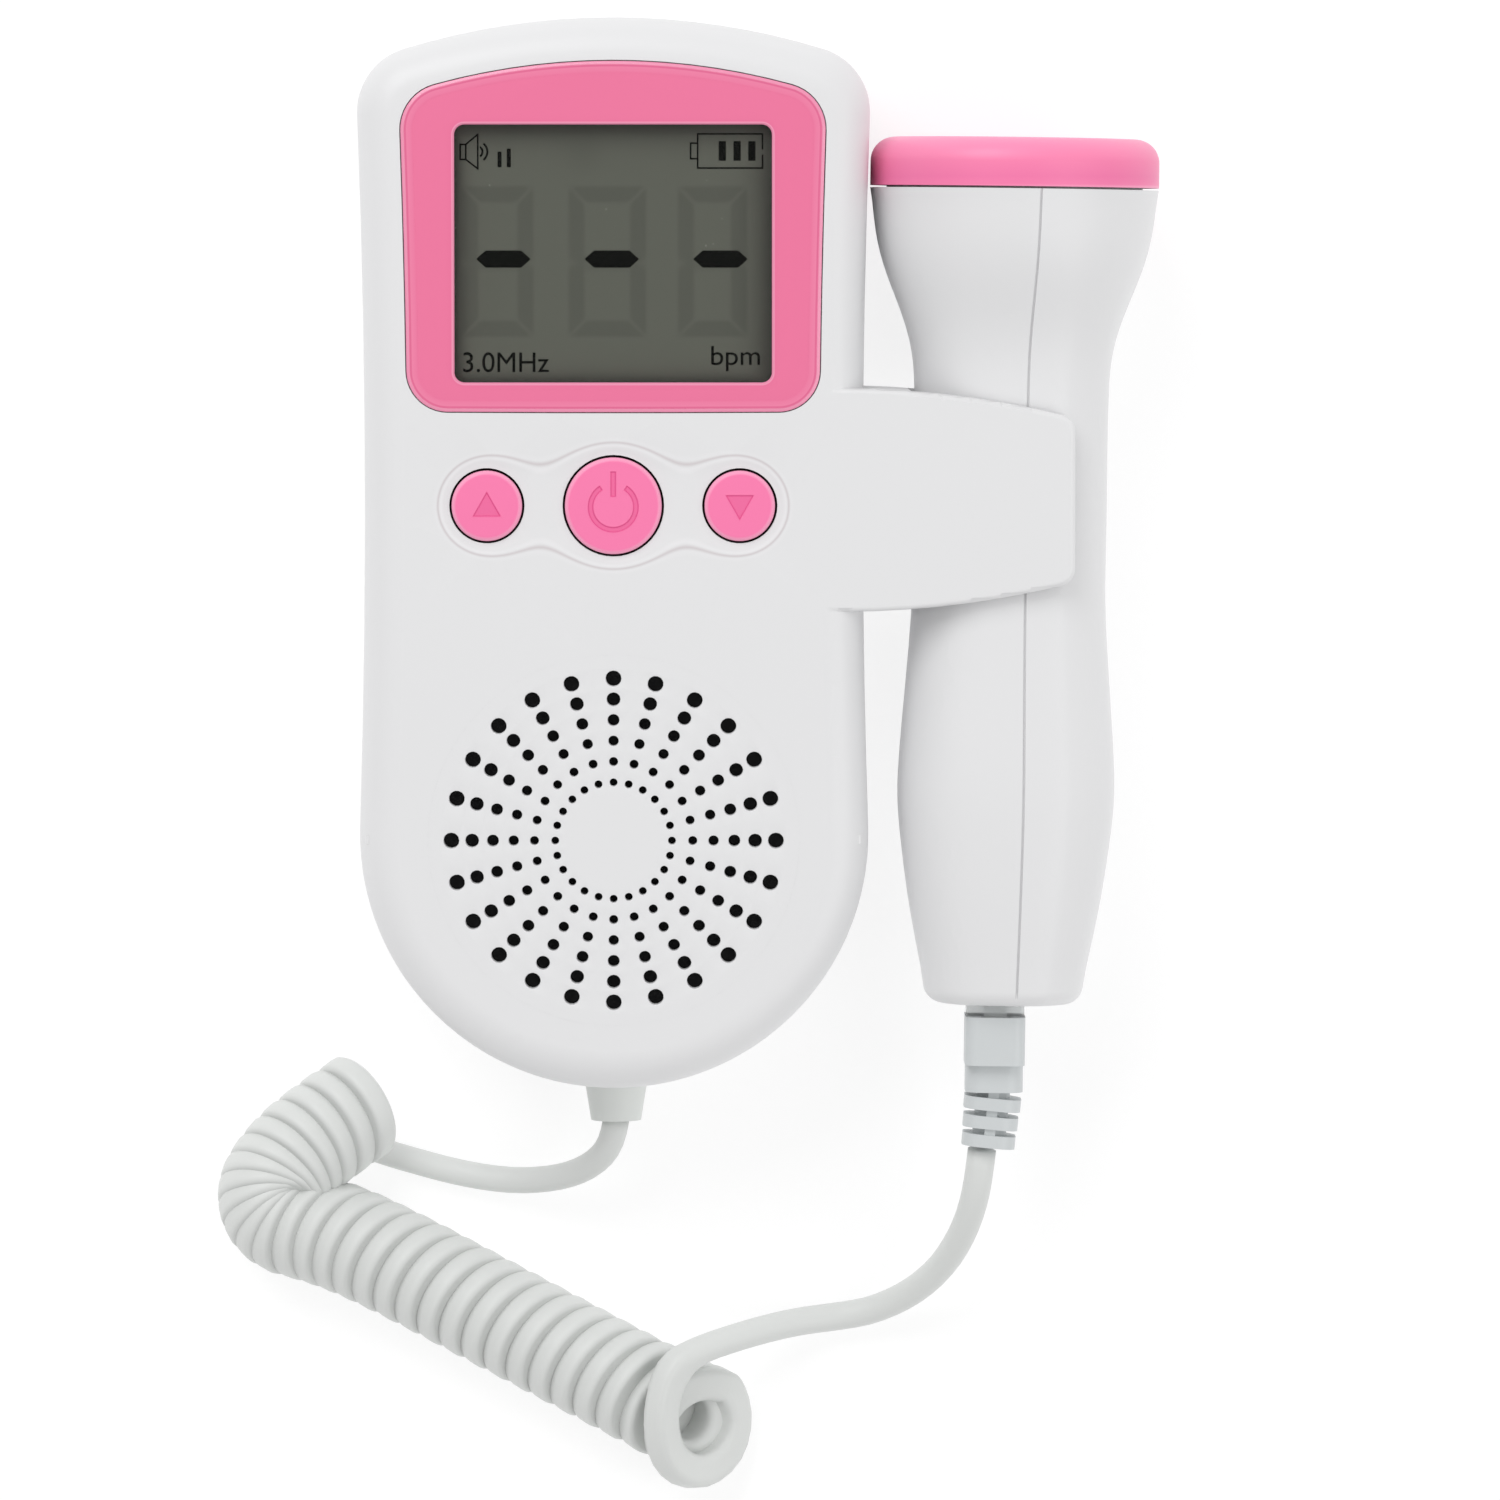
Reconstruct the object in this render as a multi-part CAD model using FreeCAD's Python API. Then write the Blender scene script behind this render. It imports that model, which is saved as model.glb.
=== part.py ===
import FreeCAD, Part
import math
import os

from FreeCAD import Vector

# Fetal doppler monitor. Millimetres. The main unit lies on its back: X across the unit, Y towards
# its display end, Z out of its face. The origin is on the flat rear face, at mid-length.
# The probe is parked in the clip on the unit's +X side, its axis along Y.

# ---- Main unit housing -----------------------------------------------------------------------
unit_length = 147.2
unit_thickness = 35.0
end_radius = 35.0          # round lower end
side_radius = 1400.0       # the sides are drawn in a little at the waist
waist_y = 9.0              # where the waist is narrowest
top_radius = 98.0          # crown of the display end
corner_radius = 9.0
parting_z = 14.0           # where the two covers meet
parting_ease = 0.25        # chamfer on both sides of the parting line
wall = 2.2
front_wall = 2.4
front_rounding = 5.5
rear_rounding = 7.0
lip_height = 1.2
lip_gap = 0.1

# ---- Display ---------------------------------------------------------------------------------
bezel_border = 5.9         # from the unit's outline to the bezel's, at the sides and the crown
bezel_lower_border = 4.2   # below the window
bezel_edge_radius = 4000.0  # the lower edge is all but straight
bezel_top_corner = 6.4
bezel_bottom_corner = 5.8
bezel_recess = 1.3
bezel_proud = 0.2
bezel_gap = 0.15
bezel_bevel = 0.5          # width of the sloped band along its outer edge
bezel_window_ease = 0.2    # chamfer round the window
window_half_width = 21.7
window_height = 35.2
window_top_border = 14.7   # from the display end
window_corner = 1.4
window_step = 1.0          # the cover's opening is this much wider than the bezel's
lens_thickness = 0.9
lens_gap = 0.1
glass_thickness = 2.2
glass_margin = 2.1         # glass beyond the visible window
glass_ledge = 3.8          # glass beyond the window at the contact edge
holder_wall = 0.8
holder_floor = 1.2
strip_width = 2.4
strip_inset = 1.0

# ---- Buttons ---------------------------------------------------------------------------------
button_row_share = 0.26    # of the play of its collar between the display's holder and the ring
button_spacing = 17.3
power_radius = 6.65
volume_radius = 4.85
button_proud = 0.5
button_gap = 0.3
button_stop_gap = 0.2      # between each button's flange and the cover
button_skin = 1.2
button_crown = 0.6         # rounding of the cap's rim
flange_width = 1.2
flange_thickness = 0.9
collar_depth = 1.7
collar_wall = 1.1
stem_radius = 1.6
island_depth = 0.35
island_slope = 1.0         # width of its sloped edge
power_lobe = 8.6
volume_lobe = 7.0
island_dip = 13.0          # radius of the waists between the lobes

# ---- Main board ------------------------------------------------------------------------------
board_depth = 9.5          # from the unit's face to the board's top
board_thickness = 1.6
board_margin = 1.0         # between the board's rim and the housing wall
board_top_border = 7.6     # from the display end
board_start = 3.85         # above the loudspeaker's ring
switch_size = 6.0
switch_height = 3.1
plunger_radius = 1.7
plunger_rise = 1.0
plunger_seat = 1.2         # the plunger's foot above the board
plunger_gap = 0.1
plunger_room = 0.7         # below the plunger's foot
standoff_radius = 2.4
standoff_x = 27.7
standoff_start = 4.5       # above the board's lower edge
standoff_span = 37.5
pilot_radius = 0.9
pilot_depth = 6.0
small_screw_radius = 0.85
small_screw_head = 1.8
small_screw_head_height = 1.2
small_screw_length = 6.5
small_screw_gap = 0.2
chip_height = 1.4
main_chip = (10.0, 10.0)   # (width, height), behind the display
driver_chip = (8.0, 5.0)   # behind the power button
side_chip = (5.0, 6.0)
side_chip_offset = (-14.0, -14.0)  # from the window's middle
memory_chip = (6.0, 5.0)
memory_chip_offset = (13.0, 12.0)
capacitor_radius = 3.1
capacitor_length = 7.5
capacitor_gap = 0.8        # from the bay's wall
capacitor_start = 13.3     # above the board's lower edge
crystal_height = 3.5
crystal_half = (5.5, 2.2)
crystal_corner = 2.1
crystal_start = 4.0        # above the board's lower edge
crystal_gap = 0.6          # from the chip behind the power button

# ---- Loudspeaker -----------------------------------------------------------------------------
speaker_end_distance = 34.55  # from the round end to its centre
speaker_radius = 24.6
speaker_gap = 0.4
speaker_depth = 12.8
speaker_rim_width = 3.4
speaker_rim_height = 1.2
magnet_radius = 11.0
magnet_height = 5.2
basket_wall = 0.9
basket_windows = 6
basket_window = (5.0, 7.0)  # along and across its spoke
basket_window_ease = 1.0   # below the rim
cone_thickness = 0.5
cone_gap = 0.2
cone_sink = 4.0
cone_surround = 2.4        # width of the soft ring round the cone
dust_cap_rise = 1.8
dust_cap_shoulder = 1.3
cloth_thickness = 0.5
ring_wall = 1.2
ring_depth = 4.0
grille_spokes = 24
grille_rings = 6
grille_first_ring = 8.0
grille_ring_step = 2.85
grille_first_hole = 0.55   # radius
grille_hole_growth = 1.15
grille_hole_sides = 8      # the pins that form the holes are eight-sided

# ---- Case screws -----------------------------------------------------------------------------
tower_wall = 1.2           # round the screws' heads
boss_wall = 1.8            # round their threads
screw_radius = 1.2
screw_gap = 0.1
screw_head_radius = 2.1
screw_head_height = 1.8
screw_recess_gap = 0.3
screw_seat_z = 9.0
screw_length = 12.0
upper_boss_x = 28.0
upper_boss_border = 16.1   # from the display end
lower_boss_distance = 28.8  # from the loudspeaker's centre
lower_boss_angle = -40.0

# ---- Batteries and their door ----------------------------------------------------------------
cell_radius = 7.2
cell_length = 50.0
cell_gap = 0.6
cell_lift = 2.6            # underside of the cells above the rear face
nub_radius = 2.7
nub_length = 1.0
bay_border = 11.6          # from the display end to the bay
cell_play = 0.3            # at each end of a cell and its contacts
bay_side_gap = 0.5
bay_wall = 1.5
contact_room = 5.0         # length left for the spring at one end of each cell
contact_thickness = 0.4
contact_width = 11.0
spring_wire = 0.6
spring_turns = 3
door_thickness = 1.8
door_sink = 0.1            # the door lies this far inside the rear face
door_overlap = 1.9         # the door beyond the bay's inside
door_gap = 0.3
door_rib_height = 1.2
ledge_thickness = 1.2
ledge_width = 1.8
hook_x = 10.0
hook_width = 7.0
hook_reach = 1.8
hook_thickness = 1.2
hook_root = 2.0
hook_clearance = 0.2
latch_width = 12.0
latch_length = 9.0
latch_slot = 0.8
groove_count = 3
groove_pitch = 1.6
groove_depth = 0.5

# ---- Clip for the probe ----------------------------------------------------------------------
clip_y = 7.6
clip_root_x = 31.0
clip_root_half = 15.3      # half the arm's length along Y at the root
clip_edge_radius = 130.0   # the arm's long edges are slightly bowed
clip_reach = 8.6           # of the front arm beyond the probe's axis
clip_tip_corner = 2.5
clip_tip_rear_trim = 3.0   # the rear arm is this much shorter
arm_thickness = 2.2
arm_rounding = 0.7         # of each arm's outer edges
arm_merge = 0.5            # the root starts this far inside the flat of the face
arm_gap = 0.3              # between each arm and the probe's neck
saddle_gap = 0.5           # between the clip's root and the neck
saddle_wall = 2.0

# ---- Probe -----------------------------------------------------------------------------------
probe_side_gap = 0.3       # between the unit's widest part and the probe's head
probe_tilt = 0.74          # degrees; the lower end leans towards the unit
head_y = 50.2              # seam under the cap
head_radius = 19.95
neck_half_width = 13.4
neck_half_depth = 12.2
grip_half_width = 15.0
grip_half_depth = 13.2
tail_half_width = 10.9
tail_half_depth = 10.3
tail_y = -62.4
tail_rounding = 2.4
probe_wall = 2.0
head_squareness = 2.0      # round
neck_squareness = 2.6      # a rounded square
tail_squareness = 2.5
# How far each of the evenly spaced sections has gone from one form towards the next.
head_to_neck = (0.0, 0.19, 0.62, 0.955, 1.0, 1.0)
neck_to_grip = (0.0, 0.0, 0.28, 0.66)
grip_to_tail = (0.0, 0.07, 0.33, 0.69, 1.0)
seam_angle = 9.0           # the halves meet on a plane turned this far about the axis
seam_width = 0.36          # the shallow groove along the seam
seam_depth = 0.35
section_points = 16
probe_table_gap = 0.35
spigot_height = 3.6
spigot_gap = 0.15
spigot_wall = 1.8
shoulder_height = 2.4
cap_height = 6.7
cap_gap = 0.3
cap_rounding = 3.3
cap_wall = 2.1
backing_gap = 0.9          # between the backing disc and the spigot
element_margin = 1.0       # of the backing beyond the elements
element_thickness = 0.7
element_split = 0.8
backing_thickness = 2.6
bulkhead_thickness = 1.5
bulkhead_hole = 6.5
bulkhead_grip = 0.05       # play of the board in the bulkheads' slots
bulkhead_ys = (40.0, -38.0)
probe_board_width = 16.0
probe_board_thickness = 1.0
probe_board_top_y = 36.0

# ---- Socket, plug and boot -------------------------------------------------------------------
socket_offset = -1.1       # the socket sits beside the probe's axis
socket_wall = 0.9
socket_length = 14.5
socket_set_back = 0.1
socket_back_wall = 2.5
plug_width = 8.1
plug_half_depth = 3.4
plug_length = 18.0
plug_fit = 0.3
plug_nose_gap = 0.6
plug_corner = 0.5
lever_width = 3.2
lever_thickness = 0.7
lever_rise = 0.9
lever_set_back = 2.0       # of its root behind the plug's nose
lever_root = 2.5           # length of its root
lever_sink = 0.3
lever_room = 0.35          # round it in the boot
lever_reach = 0.6          # of the hood's length
keyway_gap = 0.35
contact_count = 4
contact_pitch = 1.02
blade_thickness = 0.3
blade_length = 5.5
blade_height = 1.3
blade_gap = 0.05
blade_set_back = 0.4       # behind the plug's nose
boot_start = 1.8           # from the probe's end to the boot
hood_length = 6.7
hood_width = 8.3
hood_front = 6.3
hood_corner = 1.6
boot_back = 4.0
boot_body_length = 3.9
boot_body_width = 8.0
boot_body_front = 4.5
boot_corner = 2.4
boot_rings = 3
boot_ring_height = 1.75
boot_slot_height = 0.85
boot_ring_taper = 0.25
boot_lean = 5.0            # degrees that the flexible end leans towards the unit
boot_core = 2.35
boot_spine = 1.5
boot_core_overlap = 0.5    # into the boot's body
boot_core_set_back = 0.2   # from its last ring's end

# ---- Cable gland and cord --------------------------------------------------------------------
gland_length = 5.9
gland_base_radius = 4.45
gland_end_radius = 3.5
gland_neck_radius = 3.9
gland_neck_gap = 0.15
gland_flange_radius = 5.3
gland_flange_thickness = 1.5
cord_radius = 1.85
coil_outer_radius = 7.9

# The cord lies on the surface that the unit lies on, apart from where it comes down to it.
monitor_lead_route = [
    (0.0, -79.5, 14.0),
    (0.0, -82.2, 14.0),
    (-1.6, -85.2, 12.4),
    (-5.0, -87.6, 9.3),
    (-10.0, -88.9, 6.0),
    (-15.9, -89.2, 3.4),
    (-22.2, -88.3, 2.2),
    (-28.6, -86.6, 2.6),
    (-34.6, -84.9, 4.3),
    (-39.4, -83.7, 5.8),
]
coil_route = [
    (-35.6, -78.3, 7.95),
    (-43.6, -79.4, 7.95),
    (-48.1, -84.1, 7.95),
    (-48.6, -90.5, 7.95),
    (-45.0, -95.7, 7.95),
    (-33.0, -99.4, 7.95),
    (-12.0, -110.0, 7.95),
    (12.4, -123.0, 7.95),
]
probe_lead_route = [
    (50.95, -83.1, 20.3),
    (50.55, -86.9, 19.9),
    (49.7, -91.6, 17.8),
    (48.0, -96.5, 14.2),
    (45.2, -101.2, 10.0),
    (41.2, -105.0, 6.0),
    (36.0, -107.7, 3.2),
    (30.0, -108.9, 2.6),
    (24.0, -109.0, 4.2),
    (18.3, -109.7, 7.6),
    (13.4, -111.2, 11.2),
    (9.4, -113.4, 13.1),
]

# ---- Heights and places that follow ----------------------------------------------------------
face_z = unit_thickness
ceiling_z = face_z - front_wall
bezel_seat_z = face_z - bezel_recess
board_top_z = face_z - board_depth
board_low_z = board_top_z - board_thickness
plunger_top_z = board_top_z + switch_height + plunger_rise
collar_low_z = ceiling_z - collar_depth
speaker_top_z = ceiling_z - cloth_thickness
glass_top_z = ceiling_z - lens_gap
glass_low_z = glass_top_z - glass_thickness
lower_end_y = -unit_length / 2
upper_end_y = unit_length / 2
window_high_y = upper_end_y - window_top_border
window_low_y = window_high_y - window_height
bezel_bottom_y = window_low_y - bezel_lower_border
speaker_y = lower_end_y + speaker_end_distance
speaker_ring_radius = speaker_radius + speaker_gap + ring_wall
speaker_ring_y = speaker_y + speaker_ring_radius
holder_low_y = window_low_y - glass_ledge - lens_gap - holder_wall
button_collar = power_radius + button_gap + collar_wall
button_play = holder_low_y - speaker_ring_y - 2 * button_collar
button_y = holder_low_y - button_collar - button_row_share * button_play
board_high_y = upper_end_y - board_top_border
board_low_y = speaker_ring_y + board_start
standoff_low_y = board_low_y + standoff_start
standoff_high_y = standoff_low_y + standoff_span
upper_boss_y = upper_end_y - upper_boss_border
cell_x = cell_radius + cell_gap / 2
cell_z = cell_lift + cell_radius
bay_half = cell_x + cell_radius + bay_side_gap
bay_end_y = upper_end_y - bay_border
bay_start_y = bay_end_y - cell_length - contact_room - contact_thickness - 2 * cell_play
bay_roof_z = cell_z + cell_radius + cell_gap / 2
door_half = bay_half + door_overlap
door_low_y = bay_start_y - door_overlap
door_high_y = bay_end_y + door_overlap
crystal_x = -driver_chip[0] / 2 - crystal_gap - crystal_half[0]
probe_x = end_radius + probe_side_gap + head_radius - head_y * math.sin(math.radians(probe_tilt))
probe_z = head_radius + probe_table_gap
clip_tip_x = probe_x + clip_reach
saddle_x = probe_x - neck_half_width - saddle_gap
front_arm_low_z = probe_z + neck_half_depth + arm_gap
front_arm_high_z = front_arm_low_z + arm_thickness
rear_arm_high_z = probe_z - neck_half_depth - arm_gap
rear_arm_low_z = rear_arm_high_z - arm_thickness
spigot_radius = head_radius - cap_wall - spigot_gap
backing_radius = spigot_radius - spigot_wall - backing_gap
element_radius = backing_radius - element_margin
probe_floor_y = tail_y + probe_wall
socket_low_y = probe_floor_y + socket_set_back
plug_nose_y = socket_low_y + socket_length - socket_back_wall - plug_nose_gap
boot_top_y = tail_y - boot_start

OUT, IN = 1, -1
FAR = 500.0


# ---- Plain shapes ----------------------------------------------------------------------------
def plate(wire, low, high):
    """Return the prism of a closed flat wire between two heights."""
    face = Part.Face(wire)
    face.translate(Vector(0, 0, low))
    return face.extrude(Vector(0, 0, high - low))


def block(x, y, z):
    """Return the box that spans three (low, high) pairs."""
    return Part.makeBox(x[1] - x[0], y[1] - y[0], z[1] - z[0], Vector(x[0], y[0], z[0]))


def post(x, y, radius, low, high):
    """Return an upright cylinder."""
    return Part.makeCylinder(radius, high - low, Vector(x, y, low))


def rod(x, z, radius, low, high):
    """Return a cylinder along Y."""
    return Part.makeCylinder(radius, high - low, Vector(x, low, z), Vector(0, 1, 0))


def fused(shapes):
    """Return one shape from many."""
    return shapes[0].multiFuse(list(shapes[1:])) if len(shapes) > 1 else shapes[0]


def rounded_rectangle(x, y, radius):
    """Return the closed wire of a rectangle with round corners, from two (low, high) pairs."""
    corners = [(x[1], y[0], -90), (x[1], y[1], 0), (x[0], y[1], 90), (x[0], y[0], 180)]
    arcs = []
    for corner_x, corner_y, start in corners:
        inward_x = -radius if corner_x == x[1] else radius
        inward_y = -radius if corner_y == y[1] else radius
        centre = Vector(corner_x + inward_x, corner_y + inward_y, 0)
        arcs.append(arc(centre, radius, math.radians(start), math.pi / 2))
    edges = []
    for before, after in zip(arcs, arcs[1:] + arcs[:1]):
        edges.append(before)
        edges.append(Part.LineSegment(before.Vertexes[-1].Point, after.Vertexes[0].Point).toShape())
    return Part.Wire(edges)


def arc(centre, radius, start, sweep):
    """Return a circular arc in the XY plane, angles in radians."""
    points = []
    for share in (0, 0.5, 1):
        angle = start + share * sweep
        points.append(centre + Vector(math.cos(angle), math.sin(angle), 0) * radius)
    return Part.Arc(*points).toShape()


def edges_at_height(shape, z):
    """Return the edges that lie wholly at one height."""
    return [e for e in shape.Edges if abs(e.BoundBox.ZMin - z) < 1e-4 and abs(e.BoundBox.ZMax - z) < 1e-4]


def turned(profile, x, y):
    """Return the solid of a closed (radius, height) profile turned about an upright axis."""
    points = [Vector(radius, 0, z) for radius, z in profile]
    face = Part.Face(Part.makePolygon(points + points[:1]))
    solid = face.revolve(Vector(0, 0, 0), Vector(0, 0, 1), 360)
    solid.translate(Vector(x, y, 0))
    return solid


def turned_along_y(edges):
    """Return the solid of a closed profile in the XY plane turned about the Y axis."""
    return Part.Face(Part.Wire(edges)).revolve(Vector(0, 0, 0), Vector(0, 1, 0), 360)


def outline_edges(points):
    """Return the straight edges of a closed line through (x, y) points."""
    corners = [Vector(x, y, 0) for x, y in points]
    return [Part.LineSegment(a, b).toShape() for a, b in zip(corners, corners[1:] + corners[:1])]


# ---- Outlines of tangent arcs ----------------------------------------------------------------
def meeting_point(first, first_reach, second, second_reach):
    """Return the point at those distances from two points, left of the way between them."""
    way = second - first
    along = (way.Length ** 2 + first_reach ** 2 - second_reach ** 2) / (2 * way.Length)
    aside = math.sqrt(first_reach ** 2 - along ** 2)
    unit = way * (1 / way.Length)
    return first + unit * along + Vector(-unit.y, unit.x, 0) * aside


def direction(start, end):
    """Return the angle of the way from one point to another."""
    return math.atan2(end.y - start.y, end.x - start.x)


def touch_angle(circle, other):
    """Return where on a circle, as an angle, it touches a tangent one."""
    centre, radius, side = circle
    other_centre, other_radius, other_side = other
    if side == other_side and radius < other_radius:
        return direction(other_centre, centre)
    return direction(centre, other_centre)


def tangent_loop(circles, inset=0.0):
    """Return the closed wire that runs anticlockwise round tangent circles.

    Each circle is (centre, radius, side): side is OUT where its arc bulges outwards and IN where
    it is hollow. A positive inset moves the whole line inwards, with the same centres.
    """
    edges = []
    neighbours = zip(circles[-1:] + circles[:-1], circles, circles[1:] + circles[:1])
    for before, circle, after in neighbours:
        centre, radius, side = circle
        start = touch_angle(circle, before)
        sweep = (touch_angle(circle, after) - start) * side % (2 * math.pi) * side
        edges.append(arc(centre, radius - side * inset, start, sweep))
    return Part.Wire(edges)


def mirrored(circle):
    """Return a circle's mirror image on the other side of the centreline."""
    centre, radius, side = circle
    return (Vector(-centre.x, centre.y, 0), radius, side)


def side_circle():
    """Return the large hollow circle of the unit's right side, tangent to its round end."""
    end = Vector(0, lower_end_y + end_radius, 0)
    reach = end_radius + side_radius
    across = math.sqrt(reach ** 2 - (waist_y - end.y) ** 2)
    return (Vector(across, waist_y, 0), side_radius, IN)


def unit_outline(inset=0.0):
    """Return the unit's outline: round end, waisted sides, round corners and crowned top."""
    end = (Vector(0, lower_end_y + end_radius, 0), end_radius, OUT)
    side = side_circle()
    top = (Vector(0, unit_length / 2 - top_radius, 0), top_radius, OUT)
    centre = meeting_point(top[0], top_radius - corner_radius, side[0], side_radius + corner_radius)
    corner = (centre, corner_radius, OUT)
    return tangent_loop([end, side, corner, top, mirrored(corner), mirrored(side)], inset)


def bezel_outline(inset=0.0):
    """Return the display bezel's outline, which follows the unit's sides and crown."""
    side_centre, radius, side = side_circle()
    side = (side_centre, side_radius + bezel_border, IN)
    top = (Vector(0, unit_length / 2 - top_radius, 0), top_radius - bezel_border, OUT)
    upper = meeting_point(top[0], top[1] - bezel_top_corner, side[0], side[1] + bezel_top_corner)
    edge = (Vector(0, bezel_bottom_y + bezel_edge_radius, 0), bezel_edge_radius, OUT)
    lower = meeting_point(side[0], side[1] + bezel_bottom_corner, edge[0], edge[1] - bezel_bottom_corner)
    corner = (upper, bezel_top_corner, OUT)
    low_corner = (lower, bezel_bottom_corner, OUT)
    right = [low_corner, side, corner]
    left = [mirrored(circle) for circle in reversed(right)]
    return tangent_loop([edge] + right + [top] + left, inset)


def island_outline(inset):
    """Return the outline of the shallow recess round the three buttons, moved inwards."""
    power = (Vector(0, button_y, 0), power_lobe, OUT)
    right = (Vector(button_spacing, button_y, 0), volume_lobe, OUT)
    left = mirrored(right)
    reach = power_lobe + island_dip
    side_reach = volume_lobe + island_dip
    upper = (meeting_point(power[0], reach, right[0], side_reach), island_dip, IN)
    lower = (Vector(upper[0].x, 2 * button_y - upper[0].y, 0), island_dip, IN)
    loop = [right, upper, power, mirrored(upper), left, mirrored(lower), power, lower]
    return tangent_loop(loop, inset)


def island_recess():
    """Return the shallow recess with its sloped edge; it is widened above the face alike."""
    floor = island_outline(island_slope)
    floor.translate(Vector(0, 0, face_z - island_depth))
    above = island_outline(-island_slope)
    above.translate(Vector(0, 0, face_z + island_depth))
    return Part.makeLoft([floor, above], True, True)


def clip_outline(root_x, tip_x, inset=0.0):
    """Return the prism, far both ways in Z, of the clip's bowed outline between two X."""
    reach = clip_edge_radius - clip_root_half
    upper = post(clip_root_x, clip_y - reach, clip_edge_radius - inset, -FAR, FAR)
    lower = post(clip_root_x, clip_y + reach, clip_edge_radius - inset, -FAR, FAR)
    band = block((root_x, tip_x), (clip_y - FAR, clip_y + FAR), (-FAR, FAR))
    return upper.common(lower).common(band)


def clip_start_x():
    """Return the X, just inside the flat of the face at the waist, where the clip's root starts."""
    return side_circle()[0].x - side_radius - front_rounding - arm_merge


def clip_arm(low, high, tip_x, outer_z):
    """Return one arm of the clip, its tip corners and its edges at the outer height rounded."""
    reach = block((0, FAR), (-FAR, FAR), (low, high))
    arm = clip_outline(clip_start_x(), tip_x).common(reach)
    corners = [e for e in arm.Edges if e.BoundBox.XMin > tip_x - 1e-3 and e.BoundBox.ZLength > 0.5]
    arm = arm.makeFillet(clip_tip_corner, corners)
    rim = [e for e in edges_at_height(arm, outer_z) if e.BoundBox.XMax > clip_root_x]
    return arm.makeFillet(arm_rounding, rim)


# ---- Front cover -----------------------------------------------------------------------------
def front_shell():
    """Return the front half of the housing as a rounded tray."""
    outer = plate(unit_outline(), parting_z, face_z)
    outer = outer.makeFillet(front_rounding, edges_at_height(outer, face_z))
    outer = outer.makeChamfer(parting_ease, edges_at_height(outer, parting_z))
    inner = plate(unit_outline(wall), parting_z, ceiling_z)
    inner_rounding = front_rounding - wall
    inner = inner.makeFillet(inner_rounding, edges_at_height(inner, ceiling_z))
    return outer.cut(inner)


def lip_rebate():
    """Return the room that the rear cover's lip needs all round the front cover's rim."""
    low, high = parting_z - 1, parting_z + lip_height + lip_gap
    band = plate(unit_outline(wall / 2 - lip_gap), low, high)
    return band.cut(plate(unit_outline(wall + lip_gap), low - 1, high + 1))


def clip_saddle(low, high, floor_low, floor_high):
    """Return one half of the clip's hollow root, closed on its outer side by a floor."""
    outer = clip_outline(clip_start_x(), saddle_x).common(block((0, FAR), (-FAR, FAR), (low, high)))
    hollow = clip_outline(clip_root_x, saddle_x - saddle_wall, saddle_wall)
    hollow = hollow.common(block((0, FAR), (-FAR, FAR), (floor_low, floor_high)))
    return outer.cut(hollow)


def boss_places():
    """Return where the four case screws stand."""
    angle = math.radians(lower_boss_angle)
    x = lower_boss_distance * math.cos(angle)
    y = speaker_y + lower_boss_distance * math.sin(angle)
    return [(upper_boss_x, upper_boss_y), (-upper_boss_x, upper_boss_y), (x, y), (-x, y)]


def standoff_places():
    """Return where the board's four screws stand."""
    ys = (standoff_low_y, standoff_high_y)
    return [(x, y) for x in (-standoff_x, standoff_x) for y in ys]


def button_places():
    """Return each button's (X, radius)."""
    return [(0.0, power_radius), (button_spacing, volume_radius), (-button_spacing, volume_radius)]


def grille_holes():
    """Return the grille's holes as one compound of prisms through the front wall."""
    prisms = []
    for ring in range(grille_rings):
        distance = grille_first_ring + ring * grille_ring_step
        radius = grille_first_hole * grille_hole_growth ** ring
        for spoke in range(grille_spokes):
            angle = 2 * math.pi * spoke / grille_spokes
            centre = Vector(distance * math.cos(angle), speaker_y + distance * math.sin(angle), 0)
            prisms.append(polygon_prism(centre, radius, angle))
    return Part.makeCompound(prisms)


def polygon_prism(centre, radius, turn):
    """Return a many-sided prism through the front wall, its flats at the radius."""
    half = math.pi / grille_hole_sides
    reach = radius / math.cos(half)
    points = []
    for corner in range(grille_hole_sides + 1):
        angle = turn + half * (2 * corner + 1)
        points.append(centre + Vector(math.cos(angle), math.sin(angle), 0) * reach)
    return plate(Part.makePolygon(points), ceiling_z - 1, face_z + 1)


def front_inner_features():
    """Return the guides, bosses, ring and ribs that stand on the inside of the front wall."""
    features = [post(x, y, screw_radius + boss_wall, parting_z, ceiling_z + 1) for x, y in boss_places()]
    features += [post(x, y, standoff_radius, board_top_z, ceiling_z + 1) for x, y in standoff_places()]
    for x, radius in button_places():
        features.append(post(x, button_y, radius + button_gap + collar_wall, collar_low_z, ceiling_z + 1))
    ring_inner = speaker_radius + speaker_gap
    ring_low = ceiling_z - ring_depth
    ring = post(0, speaker_y, speaker_ring_radius, ring_low, ceiling_z + 1)
    features.append(ring.cut(post(0, speaker_y, ring_inner, ring_low, ceiling_z + 1)))
    rib_start = ring_inner + ring_wall / 2
    rib_y = (speaker_y - ring_wall / 2, speaker_y + ring_wall / 2)
    for side in (-1, 1):
        x = sorted((side * rib_start, side * end_radius))
        features.append(block(x, rib_y, (ring_low, ceiling_z + 1)))
    return fused(features).common(plate(unit_outline(wall / 2), parting_z, ceiling_z + 0.5))


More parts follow.
